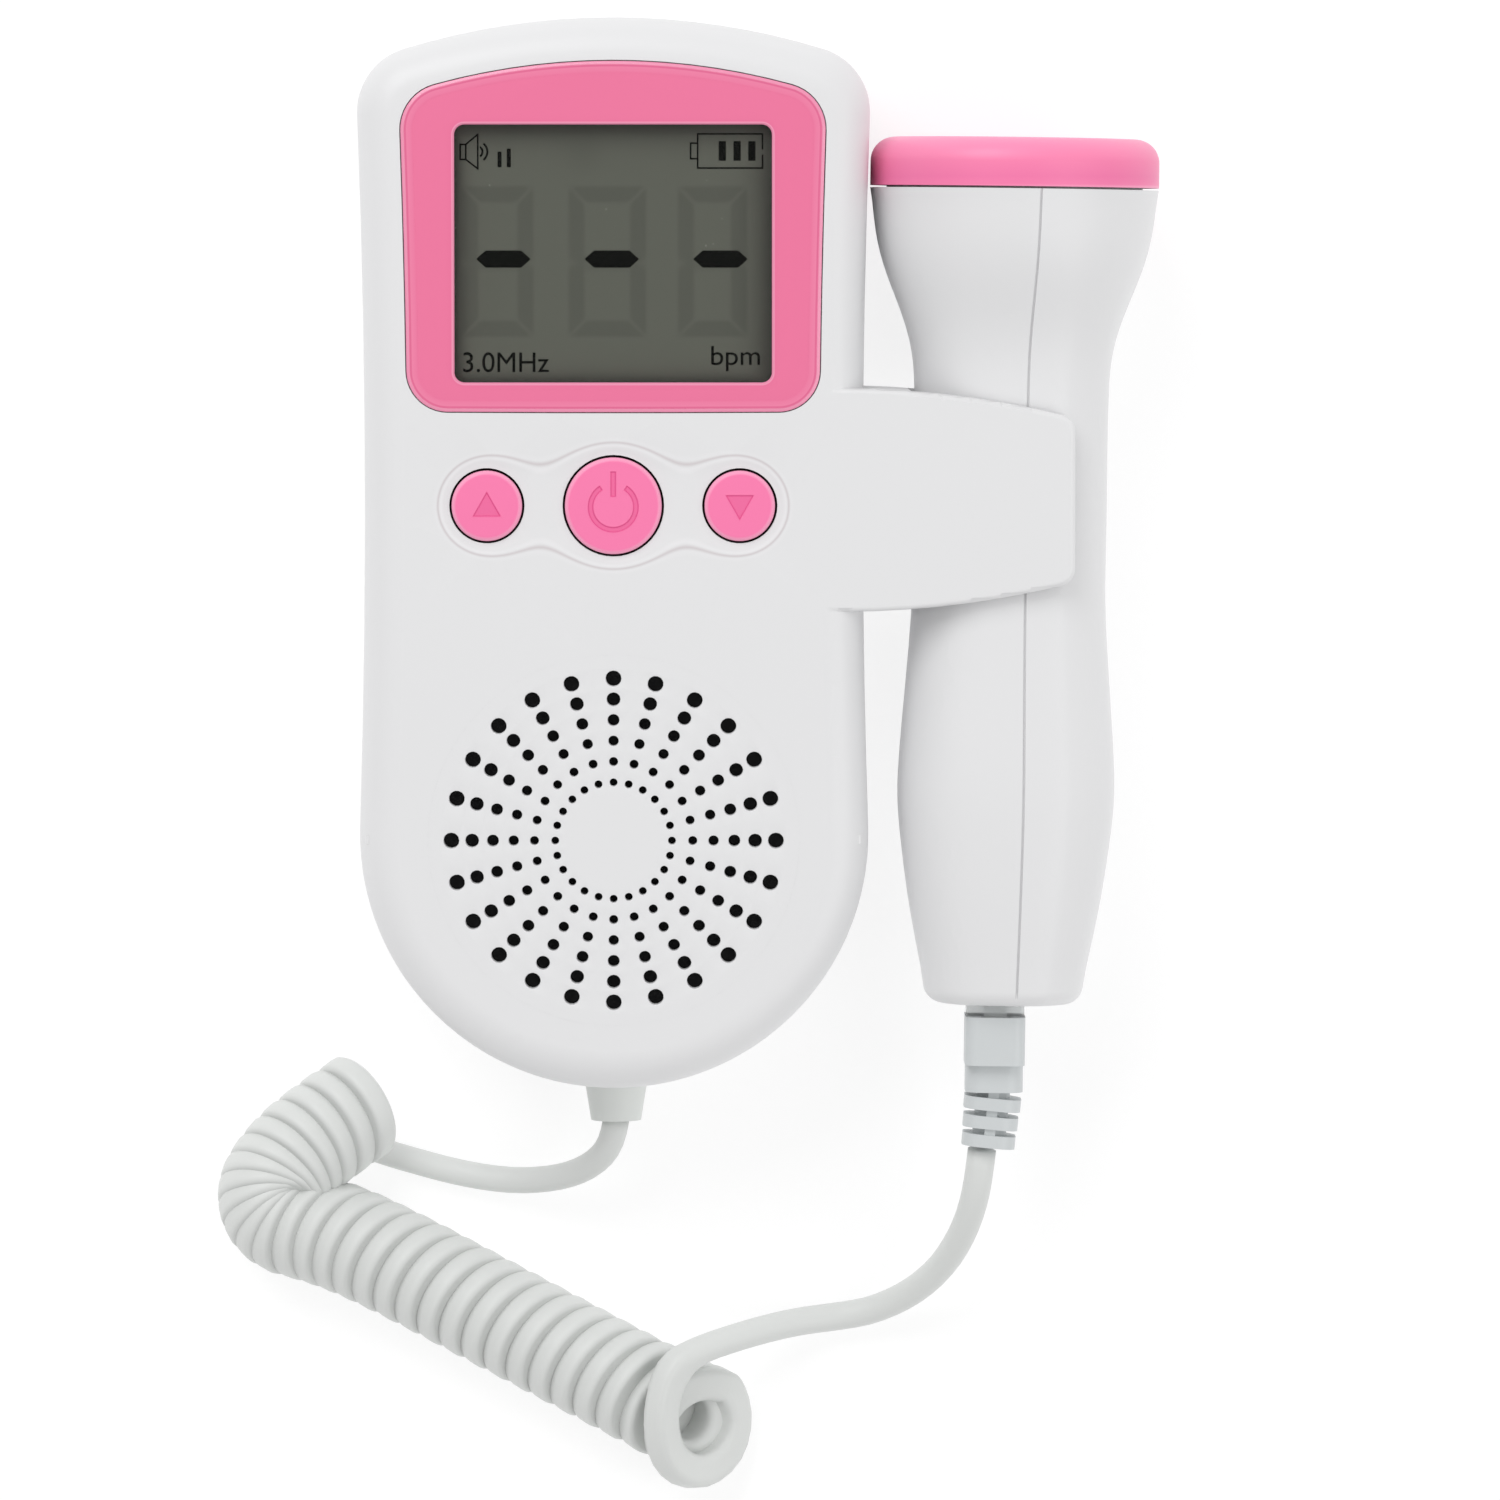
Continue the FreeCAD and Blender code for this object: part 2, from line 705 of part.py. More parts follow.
def front_cover():
    """Return the front cover with the clip's front arm and root."""
    saddle_top = front_arm_high_z - arm_thickness / 2
    saddle = clip_saddle(parting_z, saddle_top, parting_z - 1, front_arm_low_z)
    saddle = saddle.cut(plate(unit_outline(wall), parting_z - 1, ceiling_z))
    arm = clip_arm(front_arm_low_z, front_arm_high_z, clip_tip_x, front_arm_high_z)
    body = fused([front_shell(), saddle, arm])
    body = body.fuse(front_inner_features())
    cuts = [plate(bezel_outline(), bezel_seat_z, face_z + 1), lip_rebate()]
    open_x = window_half_width + window_step
    open_y = (window_low_y - window_step, window_high_y + window_step)
    opening = rounded_rectangle((-open_x, open_x), open_y, window_corner)
    cuts.append(plate(opening, ceiling_z - 1, face_z))
    cuts.append(island_recess())
    for x, radius in button_places():
        cuts.append(post(x, button_y, radius + button_gap, collar_low_z - 1, face_z + 1))
    for x, y in boss_places():
        top = screw_seat_z + screw_length + 1
        cuts.append(post(x, y, screw_radius + screw_gap / 2, parting_z - 1, top))
    for x, y in standoff_places():
        cuts.append(post(x, y, pilot_radius, board_top_z - 1, board_top_z + pilot_depth))
    cuts.append(gland_hole())
    return body.cut(fused(cuts)).cut(grille_holes()).removeSplitter()


# ---- Rear cover ------------------------------------------------------------------------------
def rear_shell():
    """Return the rear half of the housing as a rounded tray with its locating lip."""
    outer = plate(unit_outline(), 0, parting_z)
    outer = outer.makeFillet(rear_rounding, edges_at_height(outer, 0))
    outer = outer.makeChamfer(parting_ease, edges_at_height(outer, parting_z))
    inner = plate(unit_outline(wall), wall, parting_z)
    inner = inner.makeFillet(rear_rounding - wall, edges_at_height(inner, wall))
    lip = plate(unit_outline(wall / 2), parting_z - 1, parting_z + lip_height)
    lip = lip.cut(plate(unit_outline(wall), parting_z - 2, parting_z + lip_height + 1))
    return outer.cut(inner).fuse(lip)


def battery_bay():
    """Return the bay's walls and roof with the ledge that the door rests on."""
    walls_x = bay_half + bay_wall
    walls_y = (bay_start_y - bay_wall, bay_end_y + bay_wall)
    box = block((-walls_x, walls_x), walls_y, (wall, bay_roof_z + bay_wall))
    ledge_x = door_half + door_gap + ledge_width
    ledge_y = (door_low_y - door_gap - ledge_width, door_high_y + door_gap + ledge_width / 2)
    ledge = block((-ledge_x, ledge_x), ledge_y, (wall, wall + ledge_thickness))
    inside = block((-bay_half, bay_half), (bay_start_y, bay_end_y), (0, bay_roof_z))
    return box.fuse(ledge).cut(inside)


def hook_slots():
    """Return the room that the door's two hooks need in the bay's end wall."""
    half = hook_width / 2 + 2 * hook_clearance
    far = door_high_y + door_gap + hook_reach + 1
    room = (wall, wall + hook_thickness + 2)
    return fused([block((x - half, x + half), (bay_end_y - 1, far), room) for x in (-hook_x, hook_x)])


def rear_cover():
    """Return the rear cover with the battery bay, screw towers and the clip's rear arm."""
    saddle_low = rear_arm_low_z + arm_thickness / 2
    saddle = clip_saddle(saddle_low, parting_z, rear_arm_high_z, parting_z + 1)
    saddle = saddle.cut(plate(unit_outline(wall), wall, parting_z + 1))
    rear_tip_x = clip_tip_x - clip_tip_rear_trim
    arm = clip_arm(rear_arm_low_z, rear_arm_high_z, rear_tip_x, rear_arm_low_z)
    arm = arm.cut(plate(unit_outline(wall), 0, parting_z))
    towers = fused([post(x, y, screw_tower_radius(), 0.5, parting_z) for x, y in boss_places()])
    towers = towers.common(plate(unit_outline(wall / 2), 0.5, parting_z))
    body = fused([rear_shell(), saddle, arm, towers, battery_bay()])
    door_room = block(
        (-door_half - door_gap, door_half + door_gap),
        (door_low_y - door_gap, door_high_y + door_gap),
        (-1, wall),
    )
    cuts = [door_room, hook_slots(), gland_hole()]
    for x, y in boss_places():
        cuts.append(post(x, y, screw_head_radius + screw_recess_gap, -1, screw_seat_z))
        cuts.append(post(x, y, screw_radius + 2 * screw_gap, -1, parting_z + 1))
    return body.cut(fused(cuts)).removeSplitter()


def screw_tower_radius():
    """Return the outer radius of the towers that hold the case screws' heads."""
    return screw_head_radius + screw_recess_gap + tower_wall


def battery_door():
    """Return the battery door: a panel with two hooks, a latch tab and thumb grooves."""
    low, high = door_sink, door_sink + door_thickness
    panel = block((-door_half, door_half), (door_low_y, door_high_y), (low, high))
    hook_low = wall + hook_clearance
    hook_y = (door_high_y - hook_root, door_high_y + door_gap + hook_reach)
    parts = [panel]
    for x in (-hook_x, hook_x):
        across = (x - hook_width / 2, x + hook_width / 2)
        parts.append(block(across, hook_y, (hook_low, hook_low + hook_thickness)))
        parts.append(block(across, (hook_y[0], door_high_y - 1), (low, hook_low + hook_thickness)))
    rib_y = (door_low_y + latch_length + 2, door_high_y - hook_root - 3)
    parts.append(block((-cell_gap, cell_gap), rib_y, (low, high + door_rib_height)))
    door = fused(parts)
    cuts = []
    slot_y = (door_low_y - 1, door_low_y + latch_length)
    for side in (-1, 1):
        x = side * (latch_width + latch_slot) / 2
        cuts.append(block((x - latch_slot / 2, x + latch_slot / 2), slot_y, (-1, high + 1)))
    groove_x = (-latch_width / 3, latch_width / 3)
    for index in range(groove_count):
        y = door_low_y + 2 + index * groove_pitch
        cuts.append(block(groove_x, (y, y + groove_pitch / 2), (-1, low + groove_depth)))
    return door.cut(fused(cuts)).removeSplitter()


# ---- Display, board and loudspeaker ----------------------------------------------------------
def display_bezel():
    """Return the bezel: a crowned frame with a bevelled rim and an eased window."""
    low, high = face_z - bezel_proud / 2, face_z + bezel_proud
    frame = plate(bezel_outline(bezel_gap), bezel_seat_z, low)
    foot, brow = bezel_outline(bezel_gap), bezel_outline(bezel_gap + bezel_bevel)
    foot.translate(Vector(0, 0, low))
    brow.translate(Vector(0, 0, high))
    frame = frame.fuse(Part.makeLoft([foot, brow], True, True))
    window = rounded_rectangle(
        (-window_half_width, window_half_width), (window_low_y, window_high_y), window_corner
    )
    frame = frame.cut(plate(window, bezel_seat_z - 1, face_z + 1))
    sill = [e for e in edges_at_height(frame, high) if abs(e.BoundBox.Center.x) < window_half_width + 1]
    sill = [e for e in sill if window_low_y - 1 < e.BoundBox.Center.y < window_high_y + 1]
    return frame.makeChamfer(bezel_window_ease, sill)


def display_lens():
    """Return the clear lens, which lies in the front cover's opening behind the bezel."""
    half = window_half_width + window_step - 2 * lens_gap
    y = (window_low_y - window_step + 2 * lens_gap, window_high_y + window_step - 2 * lens_gap)
    top = bezel_seat_z
    return plate(rounded_rectangle((-half, half), y, window_corner), top - lens_thickness, top)


def glass_spans():
    """Return the (low, high) spans in X and Y of the LCD glass."""
    half = window_half_width + glass_margin
    return (-half, half), (window_low_y - glass_ledge, window_high_y + glass_margin)


def strip_spans():
    """Return the (low, high) spans in X and Y of the connector strip under the glass."""
    x, y = glass_spans()
    low = y[0] + strip_inset
    return (x[0] + 2 * strip_inset, x[1] - 2 * strip_inset), (low, low + strip_width)


def lcd_glass():
    """Return the LCD: two glass plates, the upper one short of the contact ledge."""
    x, y = glass_spans()
    middle = glass_low_z + glass_thickness / 2
    lower = block(x, y, (glass_low_z, middle))
    return lower.fuse(block(x, (y[0] + strip_width, y[1]), (middle, glass_top_z))).removeSplitter()


def grown(span, amount):
    """Return a (low, high) pair made wider at both ends."""
    return span[0] - amount, span[1] + amount


def lcd_holder():
    """Return the holder: a frame with a pocket for the glass and a slot for the strip."""
    x, y = glass_spans()
    rim_top = glass_top_z - 2 * lens_gap
    body = block(grown(x, holder_wall + lens_gap), grown(y, holder_wall + lens_gap), (board_top_z, rim_top))
    pocket = block(grown(x, lens_gap), grown(y, lens_gap), (glass_low_z, rim_top + 1))
    strip_x, strip_y = strip_spans()
    slot = block(grown(strip_x, lens_gap), grown(strip_y, lens_gap), (board_top_z - 1, glass_low_z + 1))
    hollow_y = (strip_y[1] + lens_gap + holder_wall, y[1])
    hollow = block(x, hollow_y, (board_top_z - 1, glass_low_z - holder_floor))
    return body.cut(fused([pocket, slot, hollow]))


def lcd_connector():
    """Return the elastomer strip between the board and the glass."""
    x, y = strip_spans()
    return block(x, y, (board_top_z, glass_low_z))


def main_board():
    """Return the circuit board, notched round the case screw bosses and drilled for its screws."""
    board = plate(unit_outline(wall + board_margin), board_low_z, board_top_z)
    board = board.common(block((-FAR, FAR), (board_low_y, board_high_y), (0, FAR)))
    boss = screw_radius + boss_wall + board_margin
    cuts = [post(x, y, boss, board_low_z - 1, board_top_z + 1) for x, y in boss_places()[:2]]
    for x, y in standoff_places():
        cuts.append(post(x, y, small_screw_radius + small_screw_gap, board_low_z - 1, board_top_z + 1))
    return board.cut(fused(cuts))


def board_chips():
    """Return the chips on the board's underside."""
    middle = (window_low_y + window_high_y) / 2
    places = [
        ((0, middle), main_chip),
        ((0, button_y), driver_chip),
        ((side_chip_offset[0], middle + side_chip_offset[1]), side_chip),
        ((memory_chip_offset[0], middle + memory_chip_offset[1]), memory_chip),
    ]
    chips = []
    for (x, y), (width, height) in places:
        spans = (x - width / 2, x + width / 2), (y - height / 2, y + height / 2)
        chips.append(block(*spans, (board_low_z - chip_height, board_low_z)))
    return Part.makeCompound(chips)


def board_capacitors():
    """Return the electrolytic capacitors, which hang beside the battery bay."""
    x = bay_half + bay_wall + capacitor_radius + capacitor_gap
    y = board_low_y + capacitor_start
    cans = []
    for side in (-1, 1):
        cans.append(post(side * x, y, capacitor_radius, board_low_z - capacitor_length, board_low_z))
    return Part.makeCompound(cans)


def board_crystal():
    """Return the crystal's can."""
    low = board_low_z - crystal_height
    half_x, half_y = crystal_half
    can = plate(rounded_rectangle((-half_x, half_x), (-half_y, half_y), crystal_corner), low, board_low_z)
    can.translate(Vector(crystal_x, board_low_y + crystal_start, 0))
    return can


def switch_cases():
    """Return the cases of the three tactile switches, each open for its plunger."""
    cases = []
    half = switch_size / 2
    case_y = (button_y - half, button_y + half)
    case_z = (board_top_z, board_top_z + switch_height)
    for x, radius in button_places():
        case = block((x - half, x + half), case_y, case_z)
        well_low = board_top_z + plunger_seat - plunger_room
        well = post(x, button_y, plunger_radius + plunger_gap, well_low, plunger_top_z)
        cases.append(case.cut(well))
    return Part.makeCompound(cases)


def plunger(x):
    """Return a switch's plunger, which its button presses down."""
    return post(x, button_y, plunger_radius, board_top_z + plunger_seat, plunger_top_z)


def button(x, radius):
    """Return a button: a hollow cap with an eased rim, a retaining flange and a stem."""
    top = face_z + button_proud
    flange_top = collar_low_z - button_stop_gap
    flange_low = flange_top - flange_thickness
    cap = post(x, button_y, radius, flange_low, top)
    cap = cap.makeFillet(button_crown, edges_at_height(cap, top))
    flange = post(x, button_y, radius + flange_width, flange_low, flange_top)
    hollow = post(x, button_y, radius - button_skin, flange_low - 1, top - 2 * button_skin)
    stem = post(x, button_y, stem_radius, plunger_top_z, top - button_skin)
    return cap.fuse(flange).cut(hollow).fuse(stem).removeSplitter()


def board_screws():
    """Return the four screws that hold the board to its standoffs."""
    screws = []
    for x, y in standoff_places():
        low = board_low_z - small_screw_head_height
        head = post(x, y, small_screw_head, low, board_low_z)
        screws.append(head.fuse(post(x, y, small_screw_radius, low, board_low_z + small_screw_length)))
    return Part.makeCompound(screws)


def case_screws():
    """Return the four screws that hold the covers together."""
    screws = []
    for x, y in boss_places():
        low = screw_seat_z - screw_head_height
        head = post(x, y, screw_head_radius, low, screw_seat_z)
        head = head.makeChamfer(screw_head_height / 3, edges_at_height(head, low))
        screws.append(head.fuse(post(x, y, screw_radius, screw_seat_z, screw_seat_z + screw_length)))
    return Part.makeCompound(screws)


def speaker_frame():
    """Return the loudspeaker's basket: rim, windowed cone wall and bottom plate."""
    top = speaker_top_z
    low = top - speaker_depth + magnet_height
    rim_inner = speaker_radius - speaker_rim_width
    rim_low = top - speaker_rim_height
    profile = [
        (speaker_radius, top),
        (speaker_radius, rim_low),
        (rim_inner, rim_low),
        (magnet_radius, low),
        (0, low),
        (0, low + basket_wall),
        (magnet_radius - basket_wall, low + basket_wall),
        (rim_inner - basket_wall, rim_low),
        (rim_inner - basket_wall, top),
    ]
    basket = turned(profile, 0, speaker_y)
    middle = (magnet_radius + rim_inner) / 2
    along, across = basket_window
    for index in range(basket_windows):
        angle = 360.0 * index / basket_windows
        window_x = (middle - along / 2, middle + along / 2)
        window = block(window_x, (-across / 2, across / 2), (low - 1, rim_low - basket_window_ease))
        window.rotate(Vector(0, 0, 0), Vector(0, 0, 1), angle)
        window.translate(Vector(0, speaker_y, 0))
        basket = basket.cut(window)
    return basket


def speaker_cone():
    """Return the paper cone with its surround roll and dust cap, one thin turned skin."""
    top = speaker_top_z - speaker_rim_height / 2
    outer = speaker_radius - speaker_rim_width - basket_wall - cone_gap
    cap = outer / 3
    profile = [
        (outer, top),
        (outer - cone_surround, top - cone_gap),
        (cap, top - cone_sink),
        (cap / 2, top - cone_sink + dust_cap_shoulder),
        (0, top - cone_sink + dust_cap_rise),
    ]
    skin = profile + [(radius, z - cone_thickness) for radius, z in reversed(profile)]
    return turned(skin, 0, speaker_y)


def speaker_magnet():
    """Return the magnet and its yoke plate behind the basket."""
    top = speaker_top_z - speaker_depth + magnet_height
    return post(0, speaker_y, magnet_radius, top - magnet_height, top)


def grille_cloth():
    """Return the black cloth disc behind the grille."""
    return post(0, speaker_y, speaker_radius, speaker_top_z, ceiling_z)


# ---- Batteries -------------------------------------------------------------------------------
def cell_ends():
    """Return each cell's (X, flat end's Y, direction of its nub)."""
    low = bay_start_y + contact_thickness + cell_play
    high = bay_end_y - contact_thickness - cell_play
    return [(-cell_x, high - cell_length, 1), (cell_x, low + cell_length, -1)]


def battery_cells():
    """Return two round cells, head to tail, each with its nub."""
    cells = []
    for x, flat_y, way in cell_ends():
        shoulder = flat_y + way * (cell_length - nub_length)
        can = rod(x, cell_z, cell_radius, *sorted((flat_y, shoulder)))
        nub = rod(x, cell_z, nub_radius, *sorted((flat_y, flat_y + way * cell_length)))
        cells.append(can.fuse(nub))
    return Part.makeCompound(cells)


def spring(x, wall_y, cell_y):
    """Return a battery's contact spring: a square wire wound between wall and cell."""
    reach = abs(cell_y - wall_y) - spring_wire
    helix = Part.makeHelix(reach / spring_turns, reach, nub_radius)
    half = spring_wire / 2
    corners = [(-half, -half), (half, -half), (half, half), (-half, half), (-half, -half)]
    section = Part.makePolygon([Vector(nub_radius + a, 0, b) for a, b in corners])
    coil = Part.Wire(helix.Edges).makePipeShell([section], True, True)
    way = 1 if cell_y > wall_y else -1
    coil.rotate(Vector(0, 0, 0), Vector(1, 0, 0), -90 * way)
    coil.translate(Vector(x, wall_y + way * half, cell_z))
    return coil


def battery_springs():
    """Return the two contact springs at the cells' flat ends."""
    springs = []
    for x, flat_y, way in cell_ends():
        wall_y = bay_start_y + contact_thickness if way > 0 else bay_end_y - contact_thickness
        springs.append(spring(x, wall_y, flat_y))
    return Part.makeCompound(springs)


def battery_plates():
    """Return the contact plates: one across both cells at one end, two at the other."""
    z = (cell_z - contact_width / 2, cell_z + contact_width / 2)
    low = (bay_start_y, bay_start_y + contact_thickness)
    high = (bay_end_y - contact_thickness, bay_end_y)
    half = contact_width / 2
    shapes = [block((-cell_x - half, cell_x + half), low, z)]
    for x in (-cell_x, cell_x):
        shapes.append(block((x - half, x + half), high, z))
    return Part.makeCompound(shapes)


# ---- Probe -----------------------------------------------------------------------------------
def probe_stations():
    """Return (Y, half width, half depth, squareness) of the probe's sections, head first."""
    head = (head_radius, head_radius, head_squareness)
    neck = (neck_half_width, neck_half_depth, neck_squareness)
    grip = (grip_half_width, grip_half_depth, neck_squareness)
    tail = (tail_half_width, tail_half_depth, tail_squareness)
    forms = [(head, neck, share) for share in head_to_neck]
    forms += [(neck, grip, share) for share in neck_to_grip]
    forms += [(grip, tail, share) for share in grip_to_tail]
    step = (head_y - tail_y) / (len(forms) - 1)
    stations = []
    for index, (form, following, share) in enumerate(forms):
        values = [a + (b - a) * share for a, b in zip(form, following)]
        stations.append((head_y - index * step, *values))
    return stations


def section(y, half_width, half_depth, squareness):
    """Return the closed smooth line of a rounded square section across the probe's axis.

    It is in two edges, which meet on the plane where the probe's shells meet.
    """
    points = []
    for index in range(section_points):
        angle = math.radians(90 - seam_angle) + 2 * math.pi * index / section_points
        cosine, sine = math.cos(angle), math.sin(angle)
        x = math.copysign(abs(cosine) ** (2 / squareness), cosine) * half_width
        z = math.copysign(abs(sine) ** (2 / squareness), sine) * half_depth
        points.append(Vector(x, y, z))
    curve = Part.BSplineCurve()
    curve.interpolate(Points=points, Parameters=list(range(section_points + 1)), PeriodicFlag=True)
    middle = section_points // 2
    return Part.Wire([curve.toShape(0, middle), curve.toShape(middle, section_points)])


def probe_form(inset=0.0):
    """Return the probe's solid form, without its cap, moved inwards by an inset."""
    wires = []
    for y, half_width, half_depth, squareness in probe_stations():
        wires.append(section(y, half_width - inset, half_depth - inset, squareness))
    return Part.makeLoft(wires, True, False)


def probe_ring(outer, inner, low, high):
    """Return a ring about the probe's axis."""
    return rod(0, 0, outer, low, high).cut(rod(0, 0, inner, low - 1, high + 1))


def probe_housing():
    """Return both shells of the probe as one hollow body, open at the head."""
    outer = probe_form()
    tail = [e for e in outer.Edges if e.BoundBox.YMax < tail_y + 0.01]
    outer = outer.makeFillet(tail_rounding, tail)
    floor = block((-FAR, FAR), (probe_floor_y, FAR), (-FAR, FAR))
    body = outer.cut(probe_form(probe_wall).common(floor))
    spigot_bore = spigot_radius - spigot_wall
    shoulder = probe_ring(head_radius - probe_wall / 2, spigot_bore, head_y - shoulder_height, head_y)
    neck = probe_ring(spigot_radius, spigot_bore, head_y - shoulder_height, head_y + spigot_height)
    parts = [body, shoulder, neck]
    form = probe_form(probe_wall / 2)
    hole = rod(0, 0, bulkhead_hole, -FAR, FAR).fuse(board_slot())
    for y in bulkhead_ys:
        slab = block((-FAR, FAR), (y, y + bulkhead_thickness), (-FAR, FAR))
        parts.append(form.common(slab).cut(hole))
    half = plug_width / 2 + 2 * plug_fit
    mouth = block(
        (socket_offset - half, socket_offset + half),
        (tail_y - 1, probe_floor_y + 1),
        (-plug_half_depth - 2 * plug_fit, plug_half_depth + 2 * plug_fit),
    )
    return fused(parts).cut(fused([mouth, keyway(tail_y - 1, probe_floor_y + 1), seam_groove()]))


def seam_groove():
    """Return the slab along the seam, all but its part inside the groove's bottom."""
    half = seam_width / 2
    reach = 2 * head_radius
    slab = block((-half, half), (tail_y - 1, head_y), (-reach, reach))
    slab.rotate(Vector(0, 0, 0), Vector(0, 1, 0), seam_angle)
    return slab.cut(probe_form(seam_depth))


def board_slot():
    """Return the slot in the bulkheads that holds the probe's board by its edges."""
    x, z = probe_board_spans()
    return block(grown(x, bulkhead_grip), (-FAR, FAR), grown(z, bulkhead_grip))


def keyway(low, high):
    """Return the slot in front of the plug that its lever runs in."""
    half = lever_width / 2 + keyway_gap
    top = plug_half_depth + lever_rise + lever_thickness + keyway_gap
    return block((socket_offset - half, socket_offset + half), (low, high), (0, top))


def probe_shell(side):
    """Return one of the probe's two shells; side 1 is the right one."""
    half = block(sorted((0, side * FAR)), (-FAR, FAR), (-FAR, FAR))
    half.rotate(Vector(0, 0, 0), Vector(0, 1, 0), seam_angle)
    return probe_housing().common(half)


def probe_cap():
    """Return the end cap: a shallow cup with a round rim."""
    low = head_y + cap_gap
    top = low + cap_height
    cup = rod(0, 0, head_radius, low, top)
    rim = [e for e in cup.Edges if e.BoundBox.YMin > top - 0.01]
    return cup.makeFillet(cap_rounding, rim).cut(rod(0, 0, head_radius - cap_wall, low - 1, top - cap_wall))


def cap_roof_y():
    """Return the height along the probe's axis of the cap's inner face."""
    return head_y + cap_gap + cap_height - cap_wall


def transducer_elements():
    """Return the two half-disc elements, which are bonded to the inside of the cap."""
    high = cap_roof_y()
    disc = rod(0, 0, element_radius, high - element_thickness, high)
    gap = block((-element_split / 2, element_split / 2), (-FAR, FAR), (-FAR, FAR))
    halves = disc.cut(gap)
    halves.rotate(Vector(0, 0, 0), Vector(0, 1, 0), seam_angle)
    return Part.makeCompound(halves.Solids)


def transducer_backing():
    """Return the backing disc behind the elements."""
    high = cap_roof_y() - element_thickness
    return rod(0, 0, backing_radius, high - backing_thickness, high)


def probe_board_spans():
    """Return the (low, high) spans in X and Z of the probe's board."""
    half = probe_board_width / 2
    return (-half, half), (-probe_board_thickness * 1.5, -probe_board_thickness / 2)


def probe_board():
    """Return the probe's circuit board, which runs from its socket towards its head."""
    x, z = probe_board_spans()
    return block(x, (socket_low_y + socket_length, probe_board_top_y), z)


def probe_socket():
    """Return the modular socket, with its cavity and keyway open at the probe's end."""
    inner = plug_width / 2 + plug_fit
    depth = plug_half_depth + plug_fit
    half = inner + socket_wall
    front = plug_half_depth + lever_rise + lever_thickness + keyway_gap + socket_wall
    body = block(
        (socket_offset - half, socket_offset + half),
        (socket_low_y, socket_low_y + socket_length),
        (-depth - socket_wall, front),
    )
    cavity_y = (socket_low_y - 1, plug_nose_y + plug_nose_gap)
    cavity = block((socket_offset - inner, socket_offset + inner), cavity_y, (-depth, depth))
    return body.cut(cavity).cut(keyway(*cavity_y))


# ---- Plug ------------------------------------------------------------------------------------
def blade_places():
    """Return the X of each contact blade."""
    first = socket_offset - contact_pitch * (contact_count - 1) / 2
    return [first + index * contact_pitch for index in range(contact_count)]


def blade(x, margin):
    """Return one contact blade, or with a margin the slot for it."""
    half = blade_thickness / 2 + margin
    high = plug_nose_y - blade_set_back
    y = (high - blade_length - margin, high + margin)
    z = (-plug_half_depth - margin, -plug_half_depth + blade_height + margin)
    return block((x - half, x + half), y, z)


def plug_lever(margin=0.0):
    """Return the plug's springy lever, which rises towards the cord; or room for it."""
    half = lever_width / 2 + margin
    root_y = plug_nose_y - lever_set_back
    tip_y = boot_top_y - lever_reach * hood_length
    face = plug_half_depth
    tip = face + lever_rise
    profile = [
        (root_y, face - lever_sink - margin),
        (root_y, face + lever_thickness + margin),
        (tip_y - margin, tip + lever_thickness + margin),
        (tip_y - margin, tip - margin),
        (root_y - lever_root, face - margin),
        (root_y - lever_root, face - lever_sink - margin),
    ]
    points = [Vector(socket_offset - half, y, z) for y, z in profile]
    return Part.Face(Part.makePolygon(points + points[:1])).extrude(Vector(2 * half, 0, 0))


def plug_core():
    """Return the plug's plain body with eased long edges."""
    half = plug_width / 2
    body = block(
        (socket_offset - half, socket_offset + half),
        (plug_nose_y - plug_length, plug_nose_y),
        (-plug_half_depth, plug_half_depth),
    )
    long_edges = [e for e in body.Edges if e.BoundBox.YLength > plug_length / 2]
    return body.makeFillet(plug_corner, long_edges)


def plug_body():
    """Return the clear plug with its lever and the slots for its contacts."""
    slots = fused([blade(x, blade_gap) for x in blade_places()])
    return plug_core().cut(slots).fuse(plug_lever()).removeSplitter()


def plug_contacts():
    """Return the plug's contact blades."""
    return Part.makeCompound([blade(x, 0) for x in blade_places()])


def boot_slab(width, front, back, corner, low, high):
    """Return a slab of the boot across the plug's axis, with round corners."""
    wire = rounded_rectangle((socket_offset - width / 2, socket_offset + width / 2), (-back, front), corner)
    slab = plate(wire, 0, high - low)
    slab.rotate(Vector(0, 0, 0), Vector(1, 0, 0), 90)
    slab.translate(Vector(0, high, 0))
    return slab


def boot_end():
    """Return the boot's flexible end: rings on a core, joined by two spines."""
    start = boot_top_y - hood_length - boot_body_length
    shapes = []
    pitch = boot_ring_height + boot_slot_height
    for index in range(boot_rings):
        high = start - index * pitch - boot_slot_height
        width = boot_body_width - boot_ring_taper * (index + 0.5)
        shapes.append(boot_slab(width, width / 2, width / 2, boot_corner, high - boot_ring_height, high))
    length = boot_rings * pitch
    reach = (start - length + boot_core_set_back, start + boot_core_overlap)
    core = rod(socket_offset, 0, boot_core, *reach)
    spine_reach = boot_body_width / 2 - boot_ring_taper * boot_rings
    spine = block(
        (socket_offset - boot_spine / 2, socket_offset + boot_spine / 2),
        reach,
        (-spine_reach, spine_reach),
    )
    end = fused(shapes + [core, spine])
    end.rotate(Vector(socket_offset, start, 0), Vector(0, 0, 1), -boot_lean)
    return end


def plug_boot():
    """Return the moulded boot: a hood over the lever, a body and the ringed end."""
    body_top = boot_top_y - hood_length
    hood = boot_slab(hood_width, hood_front, boot_back, hood_corner, body_top, boot_top_y)
    body = boot_slab(
        boot_body_width, boot_body_front, boot_back, boot_corner, body_top - boot_body_length, body_top + 1
    )
    boot = fused([hood, body, boot_end()])
    pocket = block(
        (socket_offset - plug_width / 2, socket_offset + plug_width / 2),
        (plug_nose_y - plug_length, boot_top_y + 1),
        (-plug_half_depth, plug_half_depth),
    )
    return boot.cut(pocket).cut(plug_lever(lever_room)).removeSplitter()


